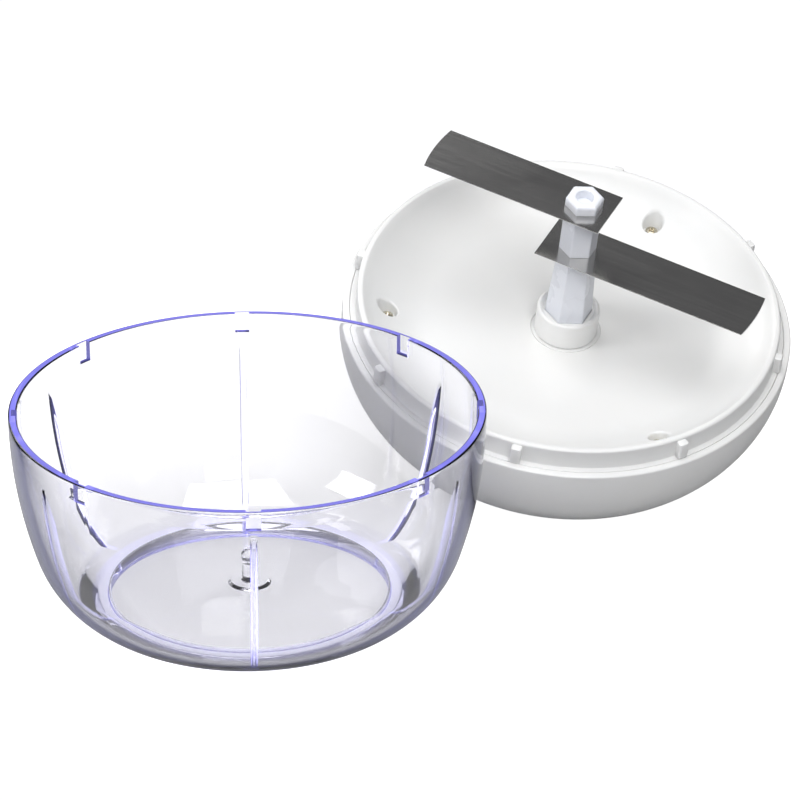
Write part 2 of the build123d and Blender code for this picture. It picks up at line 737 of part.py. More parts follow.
with BuildPart() as crank_knob:
    with BuildSketch(crank_section):
        with BuildLine():
            Line((knob_bore_radius, knob_seat_height - knob_gap), (knob_neck_radius, knob_seat_height - knob_gap))
            TangentArc(
                (knob_radius, -knob_end_depth), (knob_neck_radius, knob_seat_height - knob_gap), tangent=(0, 1)
            )
            RadiusArc((knob_radius, -knob_end_depth), (knob_cap_radius, -cap_seat_depth), knob_radius)
            Polyline(
                (knob_cap_radius, -cap_seat_depth),
                (knob_counterbore_radius, -cap_seat_depth),
                (knob_counterbore_radius, -knob_shoulder_depth),
                (knob_bore_radius, -knob_shoulder_depth),
                (knob_bore_radius, knob_seat_height - knob_gap),
            )
        make_face()
    revolve(axis=knob_axis)
crank_knob.part.label = "crank_knob"
export_step(crank_knob.part, "parts/crank_knob.step")

with BuildPart() as knob_cap:
    with BuildSketch(crank_section):
        with BuildLine():
            Polyline(
                (0, -knob_end_depth - knob_radius),
                (0, knob_cap_plug - cap_seat_depth),
                (knob_counterbore_radius - knob_cap_fit, knob_cap_plug - cap_seat_depth),
                (knob_counterbore_radius - knob_cap_fit, -cap_seat_depth),
                (knob_cap_radius, -cap_seat_depth),
            )
            RadiusArc((knob_cap_radius, -cap_seat_depth), (0, -knob_end_depth - knob_radius), knob_radius)
        make_face()
    revolve(axis=knob_axis)
knob_cap.part.label = "knob_cap"
export_step(knob_cap.part, "parts/knob_cap.step")

# ================================================================ blade drive
collar_washer_bottom = dish_floor_height - recess_depth
collar_bottom = collar_washer_bottom + collar_washer_thickness + collar_gap
clip_bottom = gear_bottom - clip_thickness


def stem_outline(fit):
    """Round stem with two flats, larger all round by a fit."""
    with BuildSketch(mode=Mode.PRIVATE) as outline:
        Circle(stem_radius + fit)
        Rectangle(2 * (stem_radius - stem_flat + fit), 2 * (stem_radius + fit), mode=Mode.INTERSECT)
    return outline.sketch


with BuildPart() as collar_washer:
    with BuildSketch(lid_plane.offset(collar_washer_bottom)):
        Circle(recess_radius - washer_gap)
        Circle(journal_radius + washer_gap, mode=Mode.SUBTRACT)
    extrude(amount=collar_washer_thickness)
collar_washer.part.label = "collar_washer"
export_step(collar_washer.part, "parts/collar_washer.step")

with BuildPart() as drive_collar:
    with BuildSketch(lid_plane.offset(collar_bottom)):
        Circle(collar_radius)
    extrude(amount=collar_height - collar_bottom)
    with BuildSketch(lid_plane.offset(collar_bottom)):
        Circle(journal_radius)
    extrude(amount=gear_top - collar_bottom)
    for start, end in ((gear_top, gear_bottom), (clip_bottom, clip_bottom - stem_tail)):
        with BuildSketch(lid_plane.offset(start)):
            add(stem_outline(0))
        extrude(amount=end - start)
    with BuildSketch(lid_plane.offset(gear_bottom)):
        Circle(stem_radius - stem_flat)
    extrude(amount=-clip_thickness)
    with BuildSketch(lid_plane.offset(collar_height)):
        hexagon(shaft_width + 2 * shaft_fit)
    extrude(amount=shaft_foot_height - collar_height, mode=Mode.SUBTRACT)
    with BuildSketch(lid_plane.offset(collar_height)):
        Circle(collar_radius - collar_lip)
    extrude(amount=-collar_funnel, taper=45, mode=Mode.SUBTRACT)
drive_collar.part.label = "drive_collar"
export_step(drive_collar.part, "parts/drive_collar.step")

with BuildPart() as sun_gear:
    with BuildSketch(lid_plane.offset(gear_bottom)):
        with BuildLine():
            Polyline(*wheel_outline(sun_teeth, (0, 0), 0), close=True)
        make_face()
        add(stem_outline(seat_fit), mode=Mode.SUBTRACT)
    extrude(amount=gear_width)
sun_gear.part.label = "sun_gear"
export_step(sun_gear.part, "parts/sun_gear.step")

with BuildPart() as drive_clip:
    with BuildSketch(lid_plane.offset(gear_bottom)):
        Circle(clip_radius)
        Circle(stem_radius - stem_flat + seat_fit, mode=Mode.SUBTRACT)
        Rectangle(clip_radius, clip_opening, align=(Align.MIN, Align.CENTER), mode=Mode.SUBTRACT)
    extrude(amount=-clip_thickness)
drive_clip.part.label = "drive_clip"
export_step(drive_clip.part, "parts/drive_clip.step")

# ================================================================ blade unit
lower_blade_back = lower_blade_height - blade_thickness
upper_blade_back = upper_blade_height - blade_thickness
cap_end_height = upper_blade_height + cap_height
shaft_taper = degrees(atan2((shaft_width - shaft_top_width) / 2, lower_blade_back - collar_height))

with BuildPart() as blade_shaft:
    with BuildSketch(lid_plane.offset(shaft_foot_height)):
        hexagon(shaft_width)
    extrude(amount=collar_height - shaft_foot_height)
    with BuildSketch(lid_plane.offset(collar_height)):
        hexagon(shaft_width)
    extrude(amount=lower_blade_back - collar_height, taper=shaft_taper)
    with BuildSketch(lid_plane.offset(lower_blade_back)):
        hexagon(tang_width)
    extrude(amount=blade_thickness + tang_height)
blade_shaft.part.label = "blade_shaft"
export_step(blade_shaft.part, "parts/blade_shaft.step")

with BuildPart() as blade_spacer:
    with BuildSketch(lid_plane.offset(lower_blade_height)):
        hexagon(spacer_width)
    extrude(amount=upper_blade_back - lower_blade_height)
    with BuildSketch(lid_plane.offset(lower_blade_height)):
        hexagon(tang_width + 2 * tang_fit)
    extrude(amount=tang_height + tang_relief, mode=Mode.SUBTRACT)
    with BuildSketch(lid_plane.offset(upper_blade_back)):
        hexagon(tang_width)
    extrude(amount=blade_thickness + cap_tang)
    with BuildSketch(lid_plane.offset(cap_end_height)):
        Circle(cap_bore_radius)
    extrude(amount=-cap_bore_depth, mode=Mode.SUBTRACT)
blade_spacer.part.label = "blade_spacer"
export_step(blade_spacer.part, "parts/blade_spacer.step")

with BuildPart() as shaft_cap:
    with BuildSketch(lid_plane.offset(upper_blade_height)):
        hexagon(cap_width)
    extrude(amount=cap_height)
    chamfer(shaft_cap.faces().sort_by(lid_axis)[-1].edges(), cap_round)
    with BuildSketch(lid_plane.offset(upper_blade_height)):
        hexagon(tang_width + 2 * tang_fit)
    extrude(amount=cap_tang + tang_relief, mode=Mode.SUBTRACT)
    with BuildSketch(lid_plane.offset(cap_end_height)):
        Circle(cap_bore_radius)
    extrude(amount=-cap_height, mode=Mode.SUBTRACT)
shaft_cap.part.label = "shaft_cap"
export_step(shaft_cap.part, "parts/shaft_cap.step")

for name, turn, height, reach, tail in (
    ("lower_blade", blade_turn + 180, lower_blade_height, lower_blade_reach, lower_blade_tail),
    ("upper_blade", blade_turn, upper_blade_height, upper_blade_reach, upper_blade_tail),
):
    along = uphill * cos(radians(turn)) + lid_plane.y_dir * sin(radians(turn))
    middle = lid_plane.from_local_coords(Vector(0, 0, height))
    across = Plane(origin=middle - along * tail, x_dir=shaft_direction.cross(along), z_dir=along)
    with BuildPart() as blade:
        with BuildSketch(across):
            with BuildLine():
                Polyline(
                    (-blade_width / 2, 0),
                    (blade_width / 2, 0),
                    (blade_width / 2, -blade_edge),
                    (blade_width / 2 - blade_bevel, -blade_thickness),
                    (blade_bevel - blade_width / 2, -blade_thickness),
                    (-blade_width / 2, -blade_edge),
                    close=True,
                )
            make_face()
        extrude(amount=tail + reach)
        with BuildSketch(lid_plane.offset(height)):
            Circle(reach)
        extrude(amount=-blade_thickness, mode=Mode.INTERSECT)
        with BuildSketch(lid_plane.offset(height)):
            hexagon(tang_width + 2 * tang_fit)
        extrude(amount=-blade_thickness, mode=Mode.SUBTRACT)
    blade.part.label = name
    export_step(blade.part, f"parts/{name}.step")
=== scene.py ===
# %% [markdown]
# # A crank food chopper, open beside its bowl
# This lesson rebuilds a clear plastic bowl and the white lid that lies behind it, upside down, with its two
# blades in the air. The joints and the hidden gears come ready made as a frame of solids. What the photograph
# shows is a surface worked out here: a profile turned round an axis, or an outline carried up a shaft.
# Sizes in the cells are in millimetres, and the mesh gets them in metres.

import json

import bmesh
import bpy
import numpy as np
from mathutils import Matrix, Vector


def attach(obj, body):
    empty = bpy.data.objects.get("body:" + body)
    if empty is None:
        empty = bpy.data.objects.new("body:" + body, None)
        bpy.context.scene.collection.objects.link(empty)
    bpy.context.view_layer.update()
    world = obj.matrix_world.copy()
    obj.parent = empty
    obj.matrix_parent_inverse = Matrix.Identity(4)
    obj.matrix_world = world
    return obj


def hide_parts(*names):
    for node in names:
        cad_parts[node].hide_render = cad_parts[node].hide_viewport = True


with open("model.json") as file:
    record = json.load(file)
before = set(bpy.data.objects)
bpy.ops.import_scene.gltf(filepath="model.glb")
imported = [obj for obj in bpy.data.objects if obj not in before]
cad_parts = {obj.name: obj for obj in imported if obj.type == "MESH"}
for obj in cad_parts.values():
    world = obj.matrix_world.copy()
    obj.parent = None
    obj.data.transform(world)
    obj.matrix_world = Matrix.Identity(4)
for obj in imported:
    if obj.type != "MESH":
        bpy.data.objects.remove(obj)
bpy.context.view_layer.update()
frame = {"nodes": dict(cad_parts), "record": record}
MM = 0.001

# %% [markdown]
# The lid is tilted, so its pieces are worked out in its own coordinates, with the middle of its rim at zero
# and the blade shaft along the third axis, and then turned into place. The joints say where that is: the
# blades turn about the shaft, and the knob stands uphill of it, on the crank.

# %% Where the lid lies
record_joints = {joint["name"]: joint for joint in frame["record"]["behaviour"]["joints"]}
shaft = np.array(record_joints["blade_lift"]["axis"])
rim_middle = np.array(record_joints["blade_spin"]["pos_m"]) / MM
knob_foot = np.array(record_joints["knob_spin"]["pos_m"]) / MM
crank_reach = np.linalg.norm(knob_foot - rim_middle)
uphill = (knob_foot - rim_middle) / crank_reach
lid_axes = np.stack([uphill, np.cross(shaft, uphill), shaft])
print("lid middle", rim_middle.round(2), "tilt", np.degrees(np.arccos(shaft[2])).round(2), "degrees")


def on_lid(points):
    """Lid coordinates to the scene's: each number times its axis, added up, plus the rim's middle."""
    return points @ lid_axes + rim_middle


# %% [markdown]
# Most pieces here are round about an axis, so the first tool turns a profile. A profile is drawn as a few
# corners, each with the radius that rounds it, because no moulded or ground edge is perfectly sharp and a
# rounded edge is what catches a highlight.

# %% Profiles with rounded corners
def rounded(corners, steps=6):
    """Corners (x, y, radius) to points. Each round touches both sides at radius / tan(half the angle between
    them), and its points lie on the circle from one touching point to the other.
    """
    corners = np.asarray(corners, float)
    here, size = corners[:, :2], corners[:, 2]
    back = np.roll(here, 1, 0) - here
    ahead = np.roll(here, -1, 0) - here
    back /= np.linalg.norm(back, axis=1, keepdims=True)
    ahead /= np.linalg.norm(ahead, axis=1, keepdims=True)
    half = np.arccos(np.clip((back * ahead).sum(1), -1, 1)) / 2
    reach = size / np.tan(half)
    middle = back + ahead
    middle /= np.maximum(np.linalg.norm(middle, axis=1, keepdims=True), 1e-9)
    centre = here + middle * (size / np.sin(half))[:, None]
    spokes = [here + side * reach[:, None] - centre for side in (back, ahead)]
    t = np.linspace(0, 1, steps)[None, :, None]
    arc = spokes[0][:, None] * (1 - t) + spokes[1][:, None] * t
    length = np.linalg.norm(arc, axis=2, keepdims=True)
    arc = centre[:, None] + arc * size[:, None, None] / np.maximum(length, 1e-9)
    points = np.where(size[:, None, None] > 0, arc, here[:, None]).reshape(-1, 2)
    return points[np.r_[True, np.linalg.norm(np.diff(points, axis=0), axis=1) > 1e-6]]


def arc(centre, radius, start, end, steps=24):
    """Points on a circle: the centre plus radius times (cos, sin) of angles from start to end, in degrees."""
    angle = np.radians(np.linspace(start, end, steps))
    return np.asarray(centre) + radius * np.stack([np.cos(angle), np.sin(angle)], axis=1)


# %% [markdown]
# A profile becomes a grid: one row for each of its points and one column for each direction round the axis.
# The grid is turned into a mesh in one go. Two checks come with it: poles, where a row shrinks to one point,
# are merged, and the enclosed volume must be positive, or else the faces point inwards and are flipped.

# %% From a grid of points to a closed mesh
SAME_POINT, NO_LENGTH = 2e-7, 1e-8


def grid_faces(rows, columns, closed_rows):
    """Four corners of each cell. Columns run round the piece, and rows do too if closed_rows is true."""
    row = np.arange(rows if closed_rows else rows - 1)[:, None]
    column = np.arange(columns)[None, :]
    below, right = (row + 1) % rows, (column + 1) % columns
    cells = [row * columns + column, row * columns + right, below * columns + right, below * columns + column]
    return np.stack(cells, axis=-1).reshape(-1, 4)


def enclosed(points, faces):
    """Volume in cubic millimetres: a sixth of each triangle's first corner dot the cross of the other two."""
    corner = points[faces]
    parts = (corner[:, [0, 0]] * np.cross(corner[:, [1, 2]], corner[:, [2, 3]])).sum(-1)
    return parts.sum() / 6


def piece(name, points, faces, body, material, stands_for=(), sharp=35, marks=None):
    """Mesh object from points (rows, columns, 3) in millimetres and four-cornered faces. Marks are named
    numbers, one for each point, that a material can read.
    """
    points = points.reshape(-1, 3)
    volume = enclosed(points - points.mean(0), faces)
    faces = faces[:, ::-1] if volume < 0 else faces
    mesh = bpy.data.meshes.new(name)
    mesh.from_pydata(points * MM, [], faces)
    for mark, values in (marks or {}).items():
        numbers = values.ravel().astype(np.float32)
        mesh.attributes.new(mark, "FLOAT", "POINT").data.foreach_set("value", numbers)
    work = bmesh.new()
    work.from_mesh(mesh)
    bmesh.ops.remove_doubles(work, verts=work.verts, dist=SAME_POINT)
    bmesh.ops.dissolve_degenerate(work, edges=work.edges, dist=NO_LENGTH)
    work.to_mesh(mesh)
    work.free()
    mesh.materials.append(material)
    mesh.shade_smooth()
    mesh.set_sharp_from_angle(angle=np.radians(sharp))
    thing = bpy.data.objects.new(name, mesh)
    bpy.context.collection.objects.link(thing)
    if stands_for:
        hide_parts(*stands_for)
    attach(thing, body)
    print(f"{name}: {len(mesh.polygons)} faces, {abs(volume) / 1000:.2f} cubic cm")
    return thing


def turned(profile, columns=256, closed=False, place=on_lid):
    """Profile (radius, height) round the axis: x = radius cos t, y = radius sin t, z = height."""
    angle = np.linspace(0, 2 * np.pi, columns, endpoint=False)
    radius, height = profile[:, 0, None], profile[:, 1, None]
    points = np.stack(np.broadcast_arrays(radius * np.cos(angle), radius * np.sin(angle), height), axis=-1)
    return place(points), grid_faces(len(profile), columns, closed)


# %% [markdown]
# ## Finishes
# Each finish is a small network of nodes. The shader's sockets hold what is the same all over, and noise
# textures on Object coordinates add what changes from place to place: the faint ripple of a moulding, the
# haze where hands have rubbed it, the lines of a grinding wheel.

# %% A start for every finish
def finish_start(name, **sockets):
    """A new material, its links, a helper that adds a node, and its shader with the given sockets set."""
    material = bpy.data.materials.new(name)
    material.use_nodes = True
    tree = material.node_tree
    shader = tree.nodes["Principled BSDF"]
    for socket, value in sockets.items():
        shader.inputs[socket.replace("_", " ")].default_value = value

    def node(kind, **settings):
        made = tree.nodes.new("ShaderNode" + kind)
        for key, value in settings.items():
            if key in made.inputs:
                made.inputs[key].default_value = value
            else:
                setattr(made, key, value)
        return made

    return material, tree.links.new, node, shader


def noise_on(link, node, scale, detail=3.0, stretch=(1, 1, 1), turn=(0, 0, 0)):
    """Noise on Object coordinates, in cells per metre. Stretch makes the cells long along the turned axes."""
    place = node("TexCoord")
    fit = node("Mapping", vector_type="TEXTURE")
    fit.inputs["Rotation"].default_value = turn
    fit.inputs["Scale"].default_value = stretch
    grain = node("TexNoise", Scale=scale, Detail=detail)
    link(place.outputs["Object"], fit.inputs["Vector"])
    link(fit.outputs["Vector"], grain.inputs["Vector"])
    return grain.outputs["Fac"]


def ranged(link, node, source, low, high, start=0.3, end=0.7):
    """A number that goes from low to high as the source goes from start to end."""
    spread = node("MapRange")
    for socket, value in zip(("From Min", "From Max", "To Min", "To Max"), (start, end, low, high)):
        spread.inputs[socket].default_value = value
    link(source, spread.inputs["Value"])
    return spread.outputs["Result"]


def blended(link, node, source, low, high):
    """A colour between low and high, by the source."""
    ramp = node("ValToRGB")
    ramp.color_ramp.elements[0].position, ramp.color_ramp.elements[1].position = 0.3, 0.7
    ramp.color_ramp.elements[0].color, ramp.color_ramp.elements[1].color = (*low, 1), (*high, 1)
    link(source, ramp.inputs["Fac"])
    return ramp.outputs["Color"]


def bumped(link, node, shader, source, depth, strength=1.0):
    """Raises the surface by the source times depth, in metres."""
    bump = node("Bump", Strength=strength, Distance=depth)
    link(source, bump.inputs["Height"])
    link(bump.outputs["Normal"], shader.inputs["Normal"])


# %% [markdown]
# White kitchen plastic is glossy but never a mirror: the mould leaves a ripple a few millimetres long, and
# washing leaves a haze that changes the gloss in patches. A little light goes into the surface and comes out
# again, which softens the shadows. The blade shaft is a cooler white than the lid, so it has its own finish.

# %% Moulded plastic
def moulded_plastic(name, light, dark, gloss=(0.3, 0.38), ripple=3e-5):
    """Plastic whose colour drifts between light and dark, with its gloss in patches and a fine ripple."""
    material, link, node, shader = finish_start(
        name, Roughness=gloss[0], IOR=1.5, Subsurface_Weight=0.08, Subsurface_Scale=0.002
    )
    shader.inputs["Subsurface Radius"].default_value = (1.0, 0.9, 0.8)
    link(blended(link, node, noise_on(link, node, 14, 4), light, dark), shader.inputs["Base Color"])
    link(ranged(link, node, noise_on(link, node, 55, 6), *gloss), shader.inputs["Roughness"])
    fine = noise_on(link, node, 260, 2)
    bumped(link, node, shader, fine, ripple, 0.35)
    return material


lid_white = moulded_plastic("lid_white", (0.80, 0.80, 0.79), (0.76, 0.765, 0.765))
shaft_white = moulded_plastic("shaft_white", (0.80, 0.82, 0.87), (0.77, 0.79, 0.85), gloss=(0.22, 0.3))
print("plastics:", lid_white.name, shaft_white.name)

# %% [markdown]
# The bowl is clear, but its edges look violet. Light that travels a long way inside clear plastic loses some
# of its yellow and red, and it travels furthest along the rim, the ribs and the foot. So the colour belongs
# to the inside of the solid, as absorption. The wall also works as a light pipe: what enters it anywhere is
# trapped between its two faces until it meets an edge, and leaves there. A path tracer finds very few of
# those paths, so the edges carry a mark, and the mark lets them give off the violet that they would collect:
# a painted glow, made with emission.
# In the photograph the outside is navy where it slants away from the eye, as it bends and mirrors darker
# things around it. This studio has none there, so Layer Weight stands in for them: the slanting outside gets
# a painted dark reflection.

# %% Clear plastic
SLANT_RANGE = (0.38, 0.72)
BOWL_TINT, BOWL_DENSITY = (0.62, 0.60, 0.96), 18.0
# Violet of the painted glow that the edges give off, and navy of the painted dark reflection outside.
PAINTED_GLOW_VIOLET, PAINTED_REFLECTION_NAVY = (0.25, 0.24, 0.85), (0.02, 0.022, 0.06)


def clear_plastic(name, tint, density, glow, outline):
    """Refracting solid with rubbing marks and absorption. Its edges give off a painted glow, and its slanting
    outside darkens with a painted dark reflection.
    """
    material, link, node, shader = finish_start(
        name, Base_Color=(1, 1, 1, 1), Roughness=0.01, IOR=1.53, Transmission_Weight=1.0
    )
    marks = noise_on(link, node, 420, 5, stretch=(1, 1, 4))
    link(ranged(link, node, marks, 0.0, 0.035, 0.35, 0.8), shader.inputs["Roughness"])
    bumped(link, node, shader, noise_on(link, node, 30, 2), 4e-5, 0.25)
    # Painted dark reflection: the base colour goes to navy where the outside slants away from the eye.
    slant = node("LayerWeight", Blend=0.5).outputs["Facing"]
    outside = node("Math", operation="MULTIPLY")
    link(ranged(link, node, slant, 0.0, 1.0, *SLANT_RANGE), outside.inputs[0])
    link(node("Attribute", attribute_name="outside").outputs["Fac"], outside.inputs[1])
    shades = node("Mix", data_type="RGBA")
    link(outside.outputs[0], shades.inputs["Factor"])
    clear, dark, shade = shades.inputs[6], shades.inputs[7], shades.outputs[2]
    clear.default_value, dark.default_value = (1, 1, 1, 1), (*outline, 1)
    link(shade, shader.inputs["Base Color"])
    # Painted glow: the edge mark sets how strongly the edges give off violet light.
    piped = node("Attribute", attribute_name="edge").outputs["Fac"]
    shader.inputs["Emission Color"].default_value = (*glow, 1)
    link(ranged(link, node, piped, 0.0, 1.0, 0.0, 1.0), shader.inputs["Emission Strength"])
    inside = node("VolumeAbsorption")
    inside.inputs["Color"].default_value = (*tint, 1)
    inside.inputs["Density"].default_value = density
    link(inside.outputs["Volume"], material.node_tree.nodes["Material Output"].inputs["Volume"])
    return material


bowl_clear = clear_plastic("bowl_clear", BOWL_TINT, BOWL_DENSITY, PAINTED_GLOW_VIOLET, PAINTED_REFLECTION_NAVY)
print("clear:", bowl_clear.name)

# %% [markdown]
# The blades are thin stainless sheet, ground along their length. Grinding leaves parallel scratches, so the
# reflection is drawn out across them. Noise that is stretched sixty times along the blade gives the scratches
# their bump and their gloss, and a little anisotropy draws the highlight out.

# %% Steel
def ground_steel(name, light, dark, along, gloss=(0.2, 0.38), brushed=0.2):
    """Metal with scratches along the first axis of a frame whose turn is given by three angles in radians."""
    material, link, node, shader = finish_start(name, Metallic=1.0, Anisotropic=brushed)
    lines = noise_on(link, node, 1400, 4, stretch=(60, 1, 1), turn=along)
    clouds = noise_on(link, node, 45, 3)
    link(blended(link, node, clouds, light, dark), shader.inputs["Base Color"])
    link(ranged(link, node, lines, *gloss), shader.inputs["Roughness"])
    bumped(link, node, shader, lines, 2e-6, 0.1)
    return material


BLADE_TURN = 49.6
cos, sin = np.cos(np.radians(BLADE_TURN)), np.sin(np.radians(BLADE_TURN))
blade_axes = np.array([[cos, sin, 0], [-sin, cos, 0], [0, 0, 1]]) @ lid_axes
along_blade = Matrix(blade_axes.T.tolist()).to_euler()
blade_steel = ground_steel(
    "blade_steel", (0.62, 0.615, 0.60), (0.56, 0.555, 0.545), along_blade, gloss=(0.15, 0.2)
)
turned_steel = ground_steel("turned_steel", (0.66, 0.66, 0.67), (0.55, 0.55, 0.57), (0, 0, 0))
screw_steel = ground_steel(
    "screw_steel", (0.70, 0.66, 0.55), (0.58, 0.53, 0.42), (0, 0, 0.6), gloss=(0.2, 0.35), brushed=0.1
)
print("steels:", blade_steel.name, turned_steel.name, screw_steel.name)

# %% [markdown]
# ## The bowl
# The wall is one side arc that stands upright at the rim, and a tighter heel arc that runs into the foot. The
# inside follows 3 mm within. Six ribs grow out of the inside and eight notches are cut into the rim for the
# lid's lugs. Turning the profile alone would give neither, so the radius of the inside is made to depend on
# the direction as well. The columns are set closer where a rib or notch begins and ends.

# %% The bowl's profile
RIM, HEIGHT, WALL = 82.5, 74.6, 3.0
SIDE_ARC, HEEL_ARC, HEEL_RADIUS, HEEL_HEIGHT = 164.61, 38.71, 74.4, 23.6
RIM_ROUND = 0.6
FOOT, FOOT_WIDTH, FOOT_HEIGHT, FLOOR = 52.8, 3.2, 5.0, 8.0
heel_slope = np.degrees(np.arcsin((HEIGHT - HEEL_HEIGHT) / SIDE_ARC))
inward_and_up = np.array([-np.cos(np.radians(heel_slope)), np.sin(np.radians(heel_slope))])
heel_centre = np.array([HEEL_RADIUS, HEEL_HEIGHT]) + HEEL_ARC * inward_and_up


def wall_side(inset, top_height, foot_angle, steps=30):
    """The side arc and then the heel arc, both inset from the outside, from a height down to an angle."""
    side = SIDE_ARC - inset
    start = np.degrees(np.arcsin((HEIGHT - top_height) / side))
    upper = arc((RIM - SIDE_ARC, HEIGHT), side, -start, -heel_slope, steps)
    return np.vstack([upper, arc(heel_centre, HEEL_ARC - inset, -heel_slope, foot_angle, steps)[1:]])


outside_end = -np.degrees(np.arcsin(heel_centre[1] / HEEL_ARC))
floor_round = 3.0
inside_centre = heel_centre[1] - FLOOR - floor_round
inside_end = -np.degrees(np.arcsin(inside_centre / (HEEL_ARC - WALL - floor_round)))
outer = wall_side(0, HEIGHT - RIM_ROUND, outside_end)[::-1]
inner = wall_side(WALL, HEIGHT - RIM_ROUND, inside_end)
outward = np.array([np.cos(np.radians(inside_end)), np.sin(np.radians(inside_end))])
round_middle = inner[-1] - floor_round * outward
floor_curve = arc(round_middle, floor_round, inside_end, -90, 8)[1:]
print("floor starts at radius", floor_curve[-1].round(2))

# %% Where the columns of the bowl go
NOTCHES, NOTCH_WIDTH, NOTCH_DEPTH, NOTCH_SKIN = 8, 5.0, 7.0, 1.1
RIBS, RIB_DEPTH, RIB_DROP = 6, 2.4, 11.0
TURN = np.radians(2.0 - 90)
notch_turns = TURN + np.arange(NOTCHES) * 2 * np.pi / NOTCHES
rib_turns = TURN + np.arange(RIBS) * 2 * np.pi / RIBS
notch_half = NOTCH_WIDTH / 2 / (RIM - WALL)
notch_edges = notch_half + np.array([-1.2e-3, -2e-5, 2e-5, 1.2e-3])
rib_steps = np.array([0, 0.35, 0.65, 0.85, 0.95, 1.03, 1.1, 1.2, 1.4, 1.8, 2.4, 3.2]) / (RIM - WALL)
bowl_turns = np.concatenate([
    np.linspace(0, 2 * np.pi, 360, endpoint=False) + TURN,
    (notch_turns[:, None] + np.r_[notch_edges, -notch_edges]).ravel(),
    (rib_turns[:, None] + np.r_[rib_steps, -rib_steps[1:]]).ravel(),
])
bowl_turns = np.unique(np.round(np.mod(bowl_turns, 2 * np.pi), 7))
print(len(bowl_turns), "columns")


# %% [markdown]
# A rib keeps its width all the way down while the bowl gets narrower, so on the inside the columns near a rib
# are spread to stay the same number of millimetres from its middle, and those between two ribs give way.

# %% The bowl as one surface
def off_line(turns, lines):
    """Angle from each turn to the nearest of the lines, from -pi to pi."""
    gap = np.mod(turns[:, None] - lines[None, :] + np.pi, 2 * np.pi) - np.pi
    return np.take_along_axis(gap, np.abs(gap).argmin(1)[:, None], 1)[:, 0]


def rib_depth(height, across):
    """Rib depth: full depth times a rise over its first 13 mm, times a crest with steep sides across it."""
    rise = np.clip((HEIGHT - RIB_DROP - height) / 13.0, 0, 1)
    crest = np.clip(1 - (across / 1.12) ** 4, 0, 1) ** 0.5
    return RIB_DEPTH * rise**0.6 * crest


rim_outer = arc((RIM - RIM_ROUND, HEIGHT - RIM_ROUND), RIM_ROUND, 0, 90, 6)[1:]
rim_inner = arc((RIM - WALL + RIM_ROUND, HEIGHT - RIM_ROUND), RIM_ROUND, 90, 180, 6)[:-1]
notch_floor = HEIGHT - NOTCH_DEPTH
cut = np.searchsorted(-inner[:, 1], -notch_floor)
seam = np.array([[np.interp(-notch_floor, -inner[:, 1], inner[:, 0]), notch_floor]])
inner = np.vstack([inner[:cut], seam, seam - [[0, 1e-3]], inner[cut:]])
PIN, PIN_TOP, BOSS, BOSS_TOP = 2.8, 21.4, 7.6, FLOOR + 0.8
pin_corners = [
    (PIN + 20, FLOOR, 0), (BOSS, FLOOR, 0.6), (BOSS - 1.1, BOSS_TOP, 0.5), (PIN - 0.1, BOSS_TOP, 0.5),
    (PIN - 0.35, FLOOR + 7.5, 0.6), (PIN, FLOOR + 8.6, 0.8), (PIN, PIN_TOP - PIN, 0),
]
pin = np.vstack([rounded(pin_corners)[1:-1], arc((0, PIN_TOP - PIN), PIN, 0, 90, 10)])
foot_inside = FOOT - FOOT_WIDTH
under = rounded([(0, FOOT_HEIGHT, 0), (foot_inside, FOOT_HEIGHT, 0.8), (foot_inside, 0, 0.5), (FOOT, 0, 0)])
floor_rings = np.stack([np.linspace(floor_curve[-1, 0], 12, 9)[1:], np.full(8, FLOOR)], axis=1)
bowl_profile = np.vstack([under[:-1], outer, rim_outer, rim_inner, inner, floor_curve, floor_rings, pin])
is_inside = np.arange(len(bowl_profile)) >= len(under) - 1 + len(outer) + len(rim_outer)
radius, height = (np.repeat(column[:, None], len(bowl_turns), 1) for column in bowl_profile.T)
off_rib = off_line(bowl_turns, rib_turns)[None, :]
band, half_way = rib_steps[-1], np.pi / RIBS
widen = np.where(is_inside[:, None], (RIM - WALL) / np.clip(radius, 50, RIM - WALL), 1.0)
beyond = band * widen + (np.abs(off_rib) - band) * (half_way - band * widen) / (half_way - band)
off_rib_here = np.where(np.abs(off_rib) < band, off_rib * widen, np.sign(off_rib) * beyond)
turns = bowl_turns[None, :] + off_rib_here - off_rib
# Where the painted dark reflection may go: the outside of the wall, but not the foot.
outside = np.where(is_inside[:, None] | (height < 1.0) | (radius < FOOT - 0.1), 0.0, 1.0)
across = off_rib_here * radius
near_wall = is_inside[:, None] & (radius > floor_curve[-1, 0] - 4)
radius = radius - np.where(near_wall, rib_depth(height, across), 0)
in_notch = np.abs(off_line(bowl_turns, notch_turns))[None, :] < notch_half
is_top = is_inside[:, None] & (height >= notch_floor)
radius = np.where(in_notch & is_top, np.maximum(radius, RIM - NOTCH_SKIN), radius)
on_top, on_foot = HEIGHT - height < 0.02, (height < 1.0) & ~is_inside[:, None]
notch_side = np.abs(np.abs(off_line(bowl_turns, notch_turns)) - notch_half)[None, :] < 3e-5
ledge = np.abs(height - notch_floor) < 2e-3
rib_side = rib_depth(height, across) * near_wall / RIB_DEPTH
